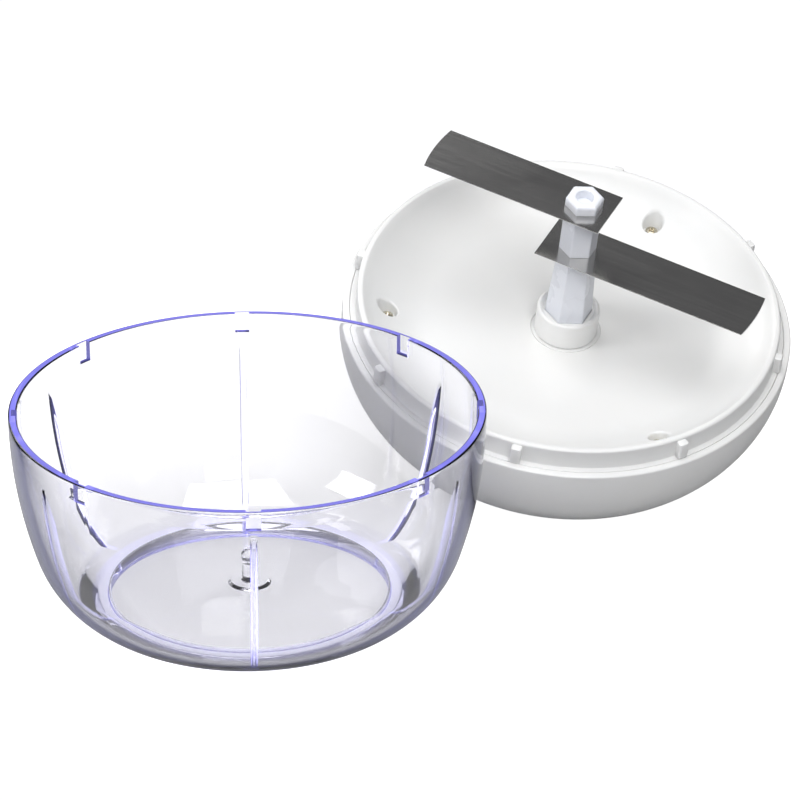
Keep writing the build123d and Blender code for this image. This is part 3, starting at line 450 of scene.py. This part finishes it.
# How much painted violet glow each kind of edge gives off; the rim gets the full amount.
FOOT_GLOW, NOTCH_GLOW, RIB_GLOW = 0.15, 0.5, 0.5
edge = np.where(on_top, 1.0, 0.0)
edge = np.maximum(edge, FOOT_GLOW * on_foot)
edge = np.maximum(edge, NOTCH_GLOW * (notch_side & is_top))
edge = np.maximum(edge, NOTCH_GLOW * (ledge & in_notch & is_top))
edge = np.maximum(edge, RIB_GLOW * rib_side)
bowl_points = np.stack([radius * np.cos(turns), radius * np.sin(turns), height], axis=-1)
bowl_faces = grid_faces(len(bowl_profile), len(bowl_turns), False)
bowl_marks = {"edge": edge, "outside": outside}
bowl = piece("clear_bowl", bowl_points, bowl_faces, "bowl", bowl_clear, ["bowl"], 40, bowl_marks)

# %% [markdown]
# ## The lid's two covers
# The lid lies on its dome. The dome is three arcs that run into one another: side, shoulder and crown. The
# inner cover is the shallow dish that faces the food. It has a flat floor, a curved side, and a neck that
# goes inside the bowl.

# %% The dome cover
LID, DOME_WALL, LAND = 82.3, 3.2, 3.5
SIDE, SIDE_TURN, SHOULDER, SHOULDER_TURN = 43.4, 45.0, 12.0, 27.0


def dome(inset):
    """Rim to apex: a short land, then arcs that each start where and how the last one ended."""
    side_centre = np.array([LID - SIDE, -LAND])
    diagonal = np.array([np.cos(np.radians(SIDE_TURN)), -np.sin(np.radians(SIDE_TURN))])
    shoulder_centre = side_centre + (SIDE - SHOULDER) * diagonal
    turn = np.radians(SIDE_TURN + SHOULDER_TURN)
    edge = shoulder_centre + SHOULDER * np.array([np.cos(turn), -np.sin(turn)])
    crown = edge[0] / np.cos(turn)
    crown_centre = (0, edge[1] + crown * np.sin(turn))
    last = SIDE_TURN + SHOULDER_TURN
    return np.vstack([
        arc(side_centre, SIDE - inset, 0, -SIDE_TURN, 36),
        arc(shoulder_centre, SHOULDER - inset, -SIDE_TURN, -last, 20)[1:],
        arc(crown_centre, crown - inset, -last, -90, 40)[1:],
    ])


SEAM = LID - 2.6
BUSH_HOLE = 7.0
shell_out, shell_in = dome(0), dome(DOME_WALL)
shell_out = shell_out[shell_out[:, 0] > BUSH_HOLE]
shell_in = shell_in[shell_in[:, 0] > BUSH_HOLE]
hole = np.array([[BUSH_HOLE, shell_out[-1, 1]], [BUSH_HOLE, shell_in[-1, 1]]])
rim = rounded([(SEAM, -3.0, 0), (SEAM, 0, 0.35), (LID, 0, 0.7), (LID, -LAND, 0)], 8)
dome_profile = np.vstack([rim[1:], shell_out[1:], hole, shell_in[::-1], [[LID - DOME_WALL, -2.4 - 0.3]]])
dome_cover = piece("dome_shell", *turned(dome_profile, 320, closed=True), "lid", lid_white, ["dome_cover"])

# %% The dish cover, before its lugs and pockets
FLANGE = SEAM - 0.15
NECK, NECK_HEIGHT, LIP = FLANGE - 2.0, 8.0, FLANGE - 4.2
DISH_FLOOR, FLOOR_RADIUS, DISH_WALL, JOURNAL = -5.0, 52.0, 2.2, 8.05
reach, rise = LIP - FLOOR_RADIUS, NECK_HEIGHT - DISH_FLOOR
dish_arc = (reach**2 + rise**2) / (2 * rise)
lip_angle = np.degrees(np.arcsin(reach / dish_arc)) - 90
dish_side = arc((FLOOR_RADIUS, DISH_FLOOR + dish_arc), dish_arc, -90, lip_angle, 40)
back_end = np.degrees(np.arcsin(reach / (dish_arc + DISH_WALL))) - 90
dish_back = arc((FLOOR_RADIUS, DISH_FLOOR + dish_arc), dish_arc + DISH_WALL, -90, back_end, 30)
neck_top = rounded([(LIP - 2, NECK_HEIGHT - 1.6, 0), (LIP + 0.3, NECK_HEIGHT, 0.9), (NECK, NECK_HEIGHT, 0.9),
                    (NECK, 0, 0.4), (FLANGE, 0, 0.3), (FLANGE, -2.4, 0), (LIP, -2.4, 0)], 8)[1:]
RECESS = 12.9
RECESS_FLOOR = DISH_FLOOR - 0.6
middle_corners = [
    (JOURNAL, DISH_FLOOR - DISH_WALL, 0), (JOURNAL, RECESS_FLOOR, 0), (RECESS, RECESS_FLOOR, 0.15),
    (RECESS, DISH_FLOOR, 0.2), (FLOOR_RADIUS, DISH_FLOOR, 0),
]
middle = rounded(middle_corners, 4)
keep = dish_side[:, 0] < LIP - 1.2
dish_profile = np.vstack([middle[:-1], dish_side[keep], neck_top, dish_back[::-1]])
dish_cover = piece("dish", *turned(dish_profile, 320, closed=True), "lid", lid_white, ["dish_cover"])

# %% [markdown]
# The eight lugs on the neck lock into the bowl's notches, and three tapered pockets take the cover's screws.
# They are carried outlines: one flat outline for each level, all with the same number of points, with the
# ends closed to a point. Boolean modifiers then join the lugs to the dish and cut the pockets out of it.

# %% Carried outlines
def carried(levels, place=on_lid):
    """Levels (outline, height) stacked as rows, with each end closed to the middle of its outline. A height
    may be one number or one for each point.
    """
    rows = [np.column_stack([outline, np.broadcast_to(height, len(outline))]) for outline, height in levels]
    ends = [np.repeat(row.mean(0)[None], len(row), 0) for row in (rows[0], rows[-1])]
    points = np.stack([ends[0], *rows, ends[1]])
    return place(points), grid_faces(len(points), points.shape[1], False)


def at_turn(points, turn, radius=0.0):
    """Moves flat points out along the first axis by the radius, and then turns them by degrees."""
    cos, sin = np.cos(np.radians(turn)), np.sin(np.radians(turn))
    flat = points + [radius, 0]
    return flat @ np.array([[cos, sin], [-sin, cos]])


def block(length, width, corner):
    """Rounded rectangle round the origin."""
    x, y = length / 2, width / 2
    return rounded([(-x, -y, corner), (x, -y, corner), (x, y, corner), (-x, y, corner)], 5)


def combined(target, tool_points, tool_faces, operation):
    """Applies a boolean with a passing tool mesh, which is then thrown away."""
    volume = enclosed(tool_points.reshape(-1, 3) - tool_points.reshape(-1, 3).mean(0), tool_faces)
    faces = tool_faces[:, ::-1] if volume < 0 else tool_faces
    mesh = bpy.data.meshes.new("tool")
    mesh.from_pydata(tool_points.reshape(-1, 3) * MM, [], faces)
    work = bmesh.new()
    work.from_mesh(mesh)
    bmesh.ops.remove_doubles(work, verts=work.verts, dist=SAME_POINT)
    work.to_mesh(mesh)
    work.free()
    tool = bpy.data.objects.new("tool", mesh)
    bpy.context.collection.objects.link(tool)
    change = target.modifiers.new("change", "BOOLEAN")
    change.object, change.operation, change.solver = tool, operation, "EXACT"
    done = bpy.data.meshes.new_from_object(target.evaluated_get(bpy.context.evaluated_depsgraph_get()))
    target.modifiers.clear()
    old, target.data = target.data, done
    done.name = old.name
    done.shade_smooth()
    done.set_sharp_from_angle(angle=np.radians(35))
    bpy.data.objects.remove(tool)
    bpy.data.meshes.remove(mesh)


# %% Lugs and pockets
LUG_TURN, LUG_WIDTH, LUG_HEIGHT, LUG_OUT = 15.8, 4.0, 7.0, RIM - WALL + 0.7
SCREW_PLACE, SCREW_TURN, POCKET, POCKET_FLOOR, BOSS_FOOT = 65.5, -45.0, 3.1, -6.4, -8.2
lug_length = LUG_OUT - NECK + 1.1
lug_middle = LUG_OUT - lug_length / 2
lug_levels = [(0.1, 0.15), (0.0, 0.3), (0.0, LUG_HEIGHT - 0.8), (0.2, LUG_HEIGHT - 0.25), (0.7, LUG_HEIGHT)]
for number in range(NOTCHES):
    levels = []
    for inset, level in lug_levels:
        outline = block(lug_length - 2 * inset, LUG_WIDTH - 2 * inset, 0.9)
        levels.append((at_turn(outline, LUG_TURN + 45 * number, lug_middle), level))
    combined(dish_cover, *carried(levels), "UNION")
around = np.linspace(0, 2 * np.pi, 64, endpoint=False)
unit = np.stack([np.cos(around), np.sin(around)], axis=1)
screw_turns = SCREW_TURN + 120 * np.arange(3)
flare = np.tan(np.radians(8.0))
mouth = [(0.0, -1.0), (0.06, -0.6), (0.2, -0.3), (0.5, -0.08), (1.5, 0.3)]


def dish_level(points):
    """Height of the dish's face: the floor, and beyond its radius a circle of radius dish_arc from there."""
    beyond = np.maximum(np.linalg.norm(points, axis=1) - FLOOR_RADIUS, 0)
    return DISH_FLOOR + dish_arc - np.sqrt(dish_arc**2 - beyond**2)


for turn in screw_turns:
    cup = at_turn(unit * (POCKET + 1.8), turn, SCREW_PLACE)
    combined(dish_cover, *carried([(cup, BOSS_FOOT), (cup, dish_level(cup) - DISH_WALL / 2)]), "UNION")
    hole = [(at_turn(unit * POCKET, turn, SCREW_PLACE), POCKET_FLOOR)]
    for wider, level in mouth:
        wall = at_turn(unit * POCKET, turn, SCREW_PLACE)
        depth = dish_level(wall) + level - POCKET_FLOOR
        wall = at_turn(unit * (POCKET + wider + flare * depth[:, None]), turn, SCREW_PLACE)
        hole.append((wall, dish_level(wall) + level))
    combined(dish_cover, *carried(hole), "DIFFERENCE")
print("dish now has", len(dish_cover.data.polygons), "faces")

# %% [markdown]
# ## Screws
# A cross-slotted screw head is a low dome with two crossed grooves. Both come from one height: the dome, less
# the groove depth wherever a point is near enough to one of the two lines, with a short slope at the edge.

# %% Screw heads
HEAD_COLUMNS, SLOT_REACH, SLOT_DEPTH, SLOT_SLOPE = 144, 0.62, 0.9, 0.12


def screw_head(name, radius, height, turn, place, body, foot):
    """Height of a point: foot + dome - groove. The groove reaches its depth over a short slope."""
    rows = np.r_[0, np.linspace(0.06, 0.97, 34), 0.99, 1.0] * radius
    columns = np.linspace(0, 2 * np.pi, HEAD_COLUMNS, endpoint=False)
    x, y = rows[:, None] * np.cos(columns), rows[:, None] * np.sin(columns)
    dome_height = height * (0.55 + 0.45 * np.sqrt(np.clip(1 - (np.hypot(x, y) / radius) ** 2, 0, 1)))
    reach = SLOT_REACH * radius
    arms = []
    for along, over in ((x, y), (y, x)):
        half_width = (0.17 - 0.06 * np.abs(along) / radius) * radius
        arms.append(np.maximum(np.abs(along) - reach, np.abs(over) - half_width))
    into_cross = np.clip(-np.minimum(*arms) / SLOT_SLOPE, 0, 1)
    shallower = np.clip(1.25 - np.hypot(x, y) / reach, 0.2, 1)
    head = dome_height - SLOT_DEPTH * into_cross * shallower
    top = np.stack([x, y, foot + head], axis=-1)
    wall = np.stack([x[-1], y[-1], np.full(HEAD_COLUMNS, foot)], axis=-1)[None]
    points = np.concatenate([top, wall, wall * [0, 0, 1]])
    flat = at_turn(points[..., :2], turn) + place
    points = on_lid(np.concatenate([flat, points[..., 2:]], axis=-1))
    return piece(name, points, grid_faces(len(points), HEAD_COLUMNS, False), body, screw_steel)


for number, (turn, slot_turn) in enumerate(zip(screw_turns, (20, 64, 41))):
    spot = at_turn(np.zeros((1, 2)), turn, SCREW_PLACE)[0]
    screw_head(f"cover_screw_{number + 1}", 2.3, 1.7, slot_turn, spot, "lid", POCKET_FLOOR)
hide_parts("cover_screws")

# %% [markdown]
# ## Collar, shaft and cap
# The drive ends in a round collar with a six-sided socket, and the blade shaft is a tapered hexagon that
# stands in it. Round and six-sided rows can share one grid if both give a radius for each direction.

# %% A hexagon as a radius for each direction
hex_turns = np.linspace(0, 2 * np.pi, 288, endpoint=False)


def hexagon(width, corner):
    """Radius of a hexagon with rounded corners: along a flat it is half the width over the cosine of the
    angle to the flat's middle, and near a corner it is the far crossing with the circle that rounds it.
    """
    side = np.mod(hex_turns - np.radians(BLADE_TURN) + np.pi / 6, np.pi / 3) - np.pi / 6
    from_corner = np.pi / 6 - np.abs(side)
    away = (width / 2 - corner) / np.cos(np.pi / 6)
    touch = np.arctan2(corner * 0.5, away + corner * np.cos(np.pi / 6))
    half_chord = np.sqrt(np.maximum(corner**2 - (away * np.sin(from_corner)) ** 2, 0))
    circle = away * np.cos(from_corner) + half_chord
    return np.where(from_corner < touch, circle, width / 2 / np.cos(side))


def rows_of(*rows):
    """Rows (radius or radii, height) as a grid of points."""
    radii = np.stack([np.broadcast_to(radius, hex_turns.shape) for radius, _ in rows])
    heights = np.array([height for _, height in rows])[:, None]
    x, y = radii * np.cos(hex_turns), radii * np.sin(hex_turns)
    points = np.stack(np.broadcast_arrays(x, y, heights), axis=-1)
    return on_lid(points), grid_faces(len(rows), len(hex_turns), False)


# %% The collar and its socket
COLLAR, COLLAR_TOP, COLLAR_FOOT, SHAFT_FOOT = 11.5, 5.9, -5.0, -2.4
STEM, STEM_FOOT = 8.0, -8.2
socket_mouth, socket = hexagon(15.6, 0.8), hexagon(15.3, 0.6)
collar_rows = [
    (0, STEM_FOOT), (STEM - 0.1, STEM_FOOT), (STEM, STEM_FOOT + 0.1), (STEM, COLLAR_FOOT),
    (COLLAR - 0.3, COLLAR_FOOT), (COLLAR, COLLAR_FOOT + 0.3),
    (COLLAR, COLLAR_TOP - 1.1), (COLLAR - 0.1, COLLAR_TOP - 0.6), (COLLAR - 0.38, COLLAR_TOP - 0.22),
    (COLLAR - 0.8, COLLAR_TOP), (COLLAR - 1.1, COLLAR_TOP), (COLLAR - 1.4, COLLAR_TOP - 0.2),
    (COLLAR - 2.25, COLLAR_TOP - 1.4), (socket_mouth, COLLAR_TOP - 1.4), (socket, COLLAR_TOP - 1.6),
    (socket, SHAFT_FOOT), (0, SHAFT_FOOT),
]
collar = piece("collar", *rows_of(*collar_rows), "drive", lid_white, ["drive_collar"])

# %% The shaft, the spacer and the cap
LOWER, UPPER, SHEET, CAP = 35.2, 55.7, 0.8, 4.1
under_lower, under_upper = LOWER - SHEET, UPPER - SHEET
shaft_rows = [
    (0, SHAFT_FOOT), (hexagon(14.6, 0.5), SHAFT_FOOT), (hexagon(15.0, 0.6), SHAFT_FOOT + 0.3),
    (hexagon(15.0, 0.6), COLLAR_TOP), (hexagon(12.58, 0.6), under_lower - 0.9),
    (hexagon(12.5, 0.6), under_lower - 0.25), (hexagon(12.2, 0.5), under_lower), (0, under_lower),
]
blade_shaft = piece("blade_shaft_body", *rows_of(*shaft_rows), "blades", shaft_white, ["blade_shaft"])
spacer_rows = [
    (0, LOWER), (hexagon(11.7, 0.5), LOWER), (hexagon(12.0, 0.6), LOWER + 0.2),
    (hexagon(12.0, 0.6), under_upper - 0.2), (hexagon(11.7, 0.5), under_upper), (0, under_upper),
]
spacer = piece("spacer_body", *rows_of(*spacer_rows), "blades", shaft_white, ["blade_spacer"])
BORE = 3.3
top = UPPER + CAP
cap_rows = [
    (0, UPPER), (hexagon(11.9, 0.5), UPPER), (hexagon(12.1, 0.6), UPPER + 0.15),
    (hexagon(12.1, 0.6), top - 0.95), (hexagon(12.0, 0.6), top - 0.8), (hexagon(10.9, 0.5), top - 0.1),
    (hexagon(10.6, 0.5), top), (BORE + 0.35, top), (BORE + 0.1, top - 0.1), (BORE, top - 0.35),
    (BORE, UPPER + 0.3), (0, UPPER + 0.3),
]
cap = piece("cap_body", *rows_of(*cap_rows), "blades", shaft_white, ["shaft_cap"])

# %% [markdown]
# ## Blades
# Each blade is one flat outline: straight sides, a square inner end, and a tip that is part of a circle round
# the shaft, so that it follows the bowl. The cutting edge is ground from one side only, so the lower outline
# is narrower than the upper one.

# %% Blade outlines
BLADE_WIDTH, BEVEL, EDGE = 22.3, 1.6, 0.25


def blade_outline(reach, tail, inset):
    """Straight sides at half the width less the inset, and a tip on a circle of the reach about the shaft."""
    half = BLADE_WIDTH / 2 - inset
    lean = np.degrees(np.arcsin(half / reach))
    tip = arc((0, 0), reach, -lean, lean, 33)
    end = np.linspace(half, -half, 9)
    inner = np.stack([np.full(9, -tail), end], axis=1)
    return np.vstack([tip, inner])


def blade(name, reach, tail, height, turn, stands_for):
    """Four levels: ground underside, cutting edge, its top, and the flat upper face."""
    levels = [
        (at_turn(blade_outline(reach, tail, BEVEL), turn), height - SHEET),
        (at_turn(blade_outline(reach, tail, 0.0), turn), height - EDGE),
        (at_turn(blade_outline(reach, tail, 0.0), turn), height - 0.08),
        (at_turn(blade_outline(reach - 0.1, tail - 0.1, 0.1), turn), height),
    ]
    made = piece(name, *carried(levels), "blades", blade_steel, [stands_for], sharp=8)
    return made


blade("long_blade", 70.3, 12.2, LOWER, BLADE_TURN + 180, "lower_blade")
blade("short_blade", 59.6, 10.4, UPPER, BLADE_TURN, "upper_blade")

# %% [markdown]
# ## Knob
# The photograph hides the knob, so its shape is a guess: a barrel with a round end that turns on its pin. Its
# cap is a separate moulding, and a hairline between the two is left open. The barrel starts a small gap past
# the crank arm's outer face, which lies at a fixed distance outside the sphere of the dome's crown.

# %% Knob and its cap
KNOB, KNOB_NECK, KNOB_END, CAP_SEAT = 9.0, 7.0, -69.7, -72.0


def on_crank(points):
    """Lid coordinates moved out to the knob's own axis."""
    return on_lid(points + [crank_reach, 0, 0])


CROWN, CROWN_DEPTH, ARM_OUTSIDE = 209.734, 47.381, 6.2
ARM_REACH, ARM_END, KNOB_GAP = 52, 9.5, 0.4
arm_face = (CROWN - CROWN_DEPTH) - np.sqrt((CROWN + ARM_OUTSIDE) ** 2 - (ARM_REACH - ARM_END) ** 2)
seat = arm_face - KNOB_GAP
t = np.linspace(0, 1, 24)
side_radius = KNOB - (KNOB - KNOB_NECK) * t**2
barrel = np.stack([side_radius, KNOB_END + (seat - 0.8 - KNOB_END) * t], axis=1)
end_angle = np.degrees(np.arcsin((CAP_SEAT - KNOB_END) / KNOB))
PIN_BORE, CAP_BORE, CAP_PLUG, BORE_END = 3.05, 5.3, 5.2, -67.9
seam_radius = KNOB * np.cos(np.radians(end_angle)) - 0.15
seam_height = CAP_SEAT + 0.03
knob_profile = np.vstack([
    [[PIN_BORE, seat]],
    arc((KNOB_NECK - 0.8, seat - 0.8), 0.8, 90, 0, 6),
    barrel[::-1][1:],
    arc((0, KNOB_END), KNOB, 0, end_angle + 1.0, 6)[1:],
    [[seam_radius, seam_height], [CAP_BORE, seam_height], [CAP_BORE, BORE_END], [PIN_BORE, BORE_END]],
])
knob_shape = turned(knob_profile, 128, closed=True, place=on_crank)
knob = piece("knob_body", *knob_shape, "knob", lid_white, ["crank_knob"])
knob_end = np.vstack([
    [[0, CAP_SEAT + 2], [CAP_PLUG, CAP_SEAT + 2], [CAP_PLUG, CAP_SEAT], [seam_radius, CAP_SEAT]],
    arc((0, KNOB_END), KNOB, end_angle - 1.0, -90, 24),
])
knob_cap = piece("knob_end", *turned(knob_end, 128, place=on_crank), "knob", lid_white, ["knob_cap"])

# %% [markdown]
# ## The pieces that stay
# Gears, pins, plate and crank keep the shape of their solids. The record says which finish each one gets: a
# slightly yellow, matt plastic for gears, the lid's white for mouldings, and steel for the rest.

# %% Finishes for the kept solids
gear_plastic = moulded_plastic(
    "gear_plastic", (0.72, 0.70, 0.62), (0.66, 0.64, 0.56), gloss=(0.38, 0.52), ripple=9e-5
)
finishes = {
    "white_gloss": lid_white,
    "cool_white": shaft_white,
    "bearing_plastic": lid_white,
    "gear_plastic": gear_plastic,
    "blade_steel": blade_steel,
    "screw_steel": screw_steel,
    "turned_steel": turned_steel,
    "stamped_steel": turned_steel,
    "clear_bowl": bowl_clear,
}
slot_of = {part["node"]: part["material_slot"] for part in frame["record"]["subparts"]}
for name, solid in frame["nodes"].items():
    solid.data.materials.clear()
    solid.data.materials.append(finishes[slot_of[name]])
print("finished", len(frame["nodes"]), "solids")

# %% [markdown]
# ## The studio
# The photograph was taken on white with no shadow to speak of. White plastic on white only shows by its
# shading, so the room is dim and softboxes do the work. The floor is white for rays that look straight at it,
# and its outer part also for rays that come through the bowl. Its outer part is nearly black for light that
# bounces, which a real pale floor isn't. That greys the dome's underside and the blades, which mirror it.

# %% Floor
PALE_CENTRE, PALE_EDGE = (0.06, 0.12, 0), (0.2, 0.26)


def studio_white(name, brightness, dark):
    """Pale round the object and dark outside for light that bounces, and plain white for the camera."""
    material, link, node, shader = finish_start(name, Roughness=0.9, Specular_IOR_Level=0.1)
    shader.inputs["Emission Color"].default_value = (1, 1, 1, 1)
    centre = node("VectorMath", operation="DISTANCE")
    centre.inputs[1].default_value = PALE_CENTRE
    link(node("TexCoord").outputs["Object"], centre.inputs[0])
    outside = ranged(link, node, centre.outputs["Value"], 0.0, 1.0, *PALE_EDGE)
    link(blended(link, node, outside, brightness, dark), shader.inputs["Base Color"])
    rays = node("LightPath")
    through = node("Math", operation="MULTIPLY")
    link(rays.outputs["Is Transmission Ray"], through.inputs[0])
    link(ranged(link, node, outside, 0.6, 1.0, 0.0, 1.0), through.inputs[1])
    either = node("Math", operation="MAXIMUM")
    link(rays.outputs["Is Camera Ray"], either.inputs[0])
    link(through.outputs[0], either.inputs[1])
    link(either.outputs[0], shader.inputs["Emission Strength"])
    return material


def staged(name, corners, material):
    """A flat sheet with four corners, for the studio; it is attached to no body."""
    mesh = bpy.data.meshes.new(name)
    mesh.from_pydata(corners, [], [(0, 1, 2, 3)])
    mesh.materials.append(material)
    thing = bpy.data.objects.new(name, mesh)
    bpy.context.collection.objects.link(thing)
    return thing


FLOOR_EDGE = 8.0
floor_white = studio_white("studio_white", (0.5, 0.5, 0.505), (0.03, 0.03, 0.05))
floor_corners = [(FLOOR_EDGE * x, FLOOR_EDGE * y, 0) for x, y in ((-1, -1), (1, -1), (1, 1), (-1, 1))]
staged("studio_floor", floor_corners, floor_white)

# %% Lights
def soft_light(name, place, target, size, power):
    """A square softbox that faces its target. Its power is in watts."""
    light = bpy.data.lights.new(name, "AREA")
    light.shape, light.size, light.energy = "SQUARE", size, power
    lamp = bpy.data.objects.new(name, light)
    lamp.location = place
    lamp.rotation_euler = (Vector(target) - Vector(place)).to_track_quat("-Z", "Y").to_euler()
    bpy.context.collection.objects.link(lamp)


middle_of_all = (0.06, 0.06, 0.04)
soft_light("top_box", (0.15, -0.5, 1.4), middle_of_all, 1.2, 17)
soft_light("left_box", (-1.2, -0.5, 0.8), middle_of_all, 0.6, 8)
soft_light("blade_panel", (-0.15, 0.72, 1.4), middle_of_all, 0.6, 3.2)
soft_light("front_box", (0.4, -1.4, 1.0), middle_of_all, 0.6, 11)
soft_light("back_box", (-1.0, 1.3, 0.9), middle_of_all, 0.8, 7)
world = bpy.data.worlds.new("room")
world.use_nodes = True
room = world.node_tree
dim = room.nodes["Background"]
dim.inputs["Color"].default_value, dim.inputs["Strength"].default_value = (0.55, 0.55, 0.57, 1), 0.2
pale = room.nodes.new("ShaderNodeBackground")
pale.inputs["Color"].default_value = (1, 1, 1, 1)
either = room.nodes.new("ShaderNodeMixShader")
room.links.new(room.nodes.new("ShaderNodeLightPath").outputs["Is Camera Ray"], either.inputs["Fac"])
room.links.new(dim.outputs["Background"], either.inputs[1])
room.links.new(pale.outputs["Background"], either.inputs[2])
room.links.new(either.outputs["Shader"], room.nodes["World Output"].inputs["Surface"])
bpy.context.scene.world = world
bpy.context.scene.view_settings.view_transform = "Standard"
bpy.context.scene.cycles.transmission_bounces = 20
bpy.context.scene.cycles.max_bounces = 24

# %% [markdown]
# The camera stands 1.93 m away with a long lens, and looks down by 25 degrees. The ellipses of the bowl's and
# lid's rims ask for that.

# %% Camera
FOCAL_PIXELS, SENSOR, FRAME_PIXELS = 5502.0, 36, 800
camera_data = bpy.data.cameras.new("camera")
camera_data.lens = FOCAL_PIXELS * SENSOR / FRAME_PIXELS
camera_data.clip_end = 20
camera = bpy.data.objects.new("camera", camera_data)
camera.location = (0.0275, -1.7194, 0.8762)
pitch, yaw = np.radians(24.92), np.radians(0.836)
camera.rotation_euler = (np.pi / 2 - pitch, 0, -yaw)
bpy.context.collection.objects.link(camera)
bpy.context.scene.camera = camera
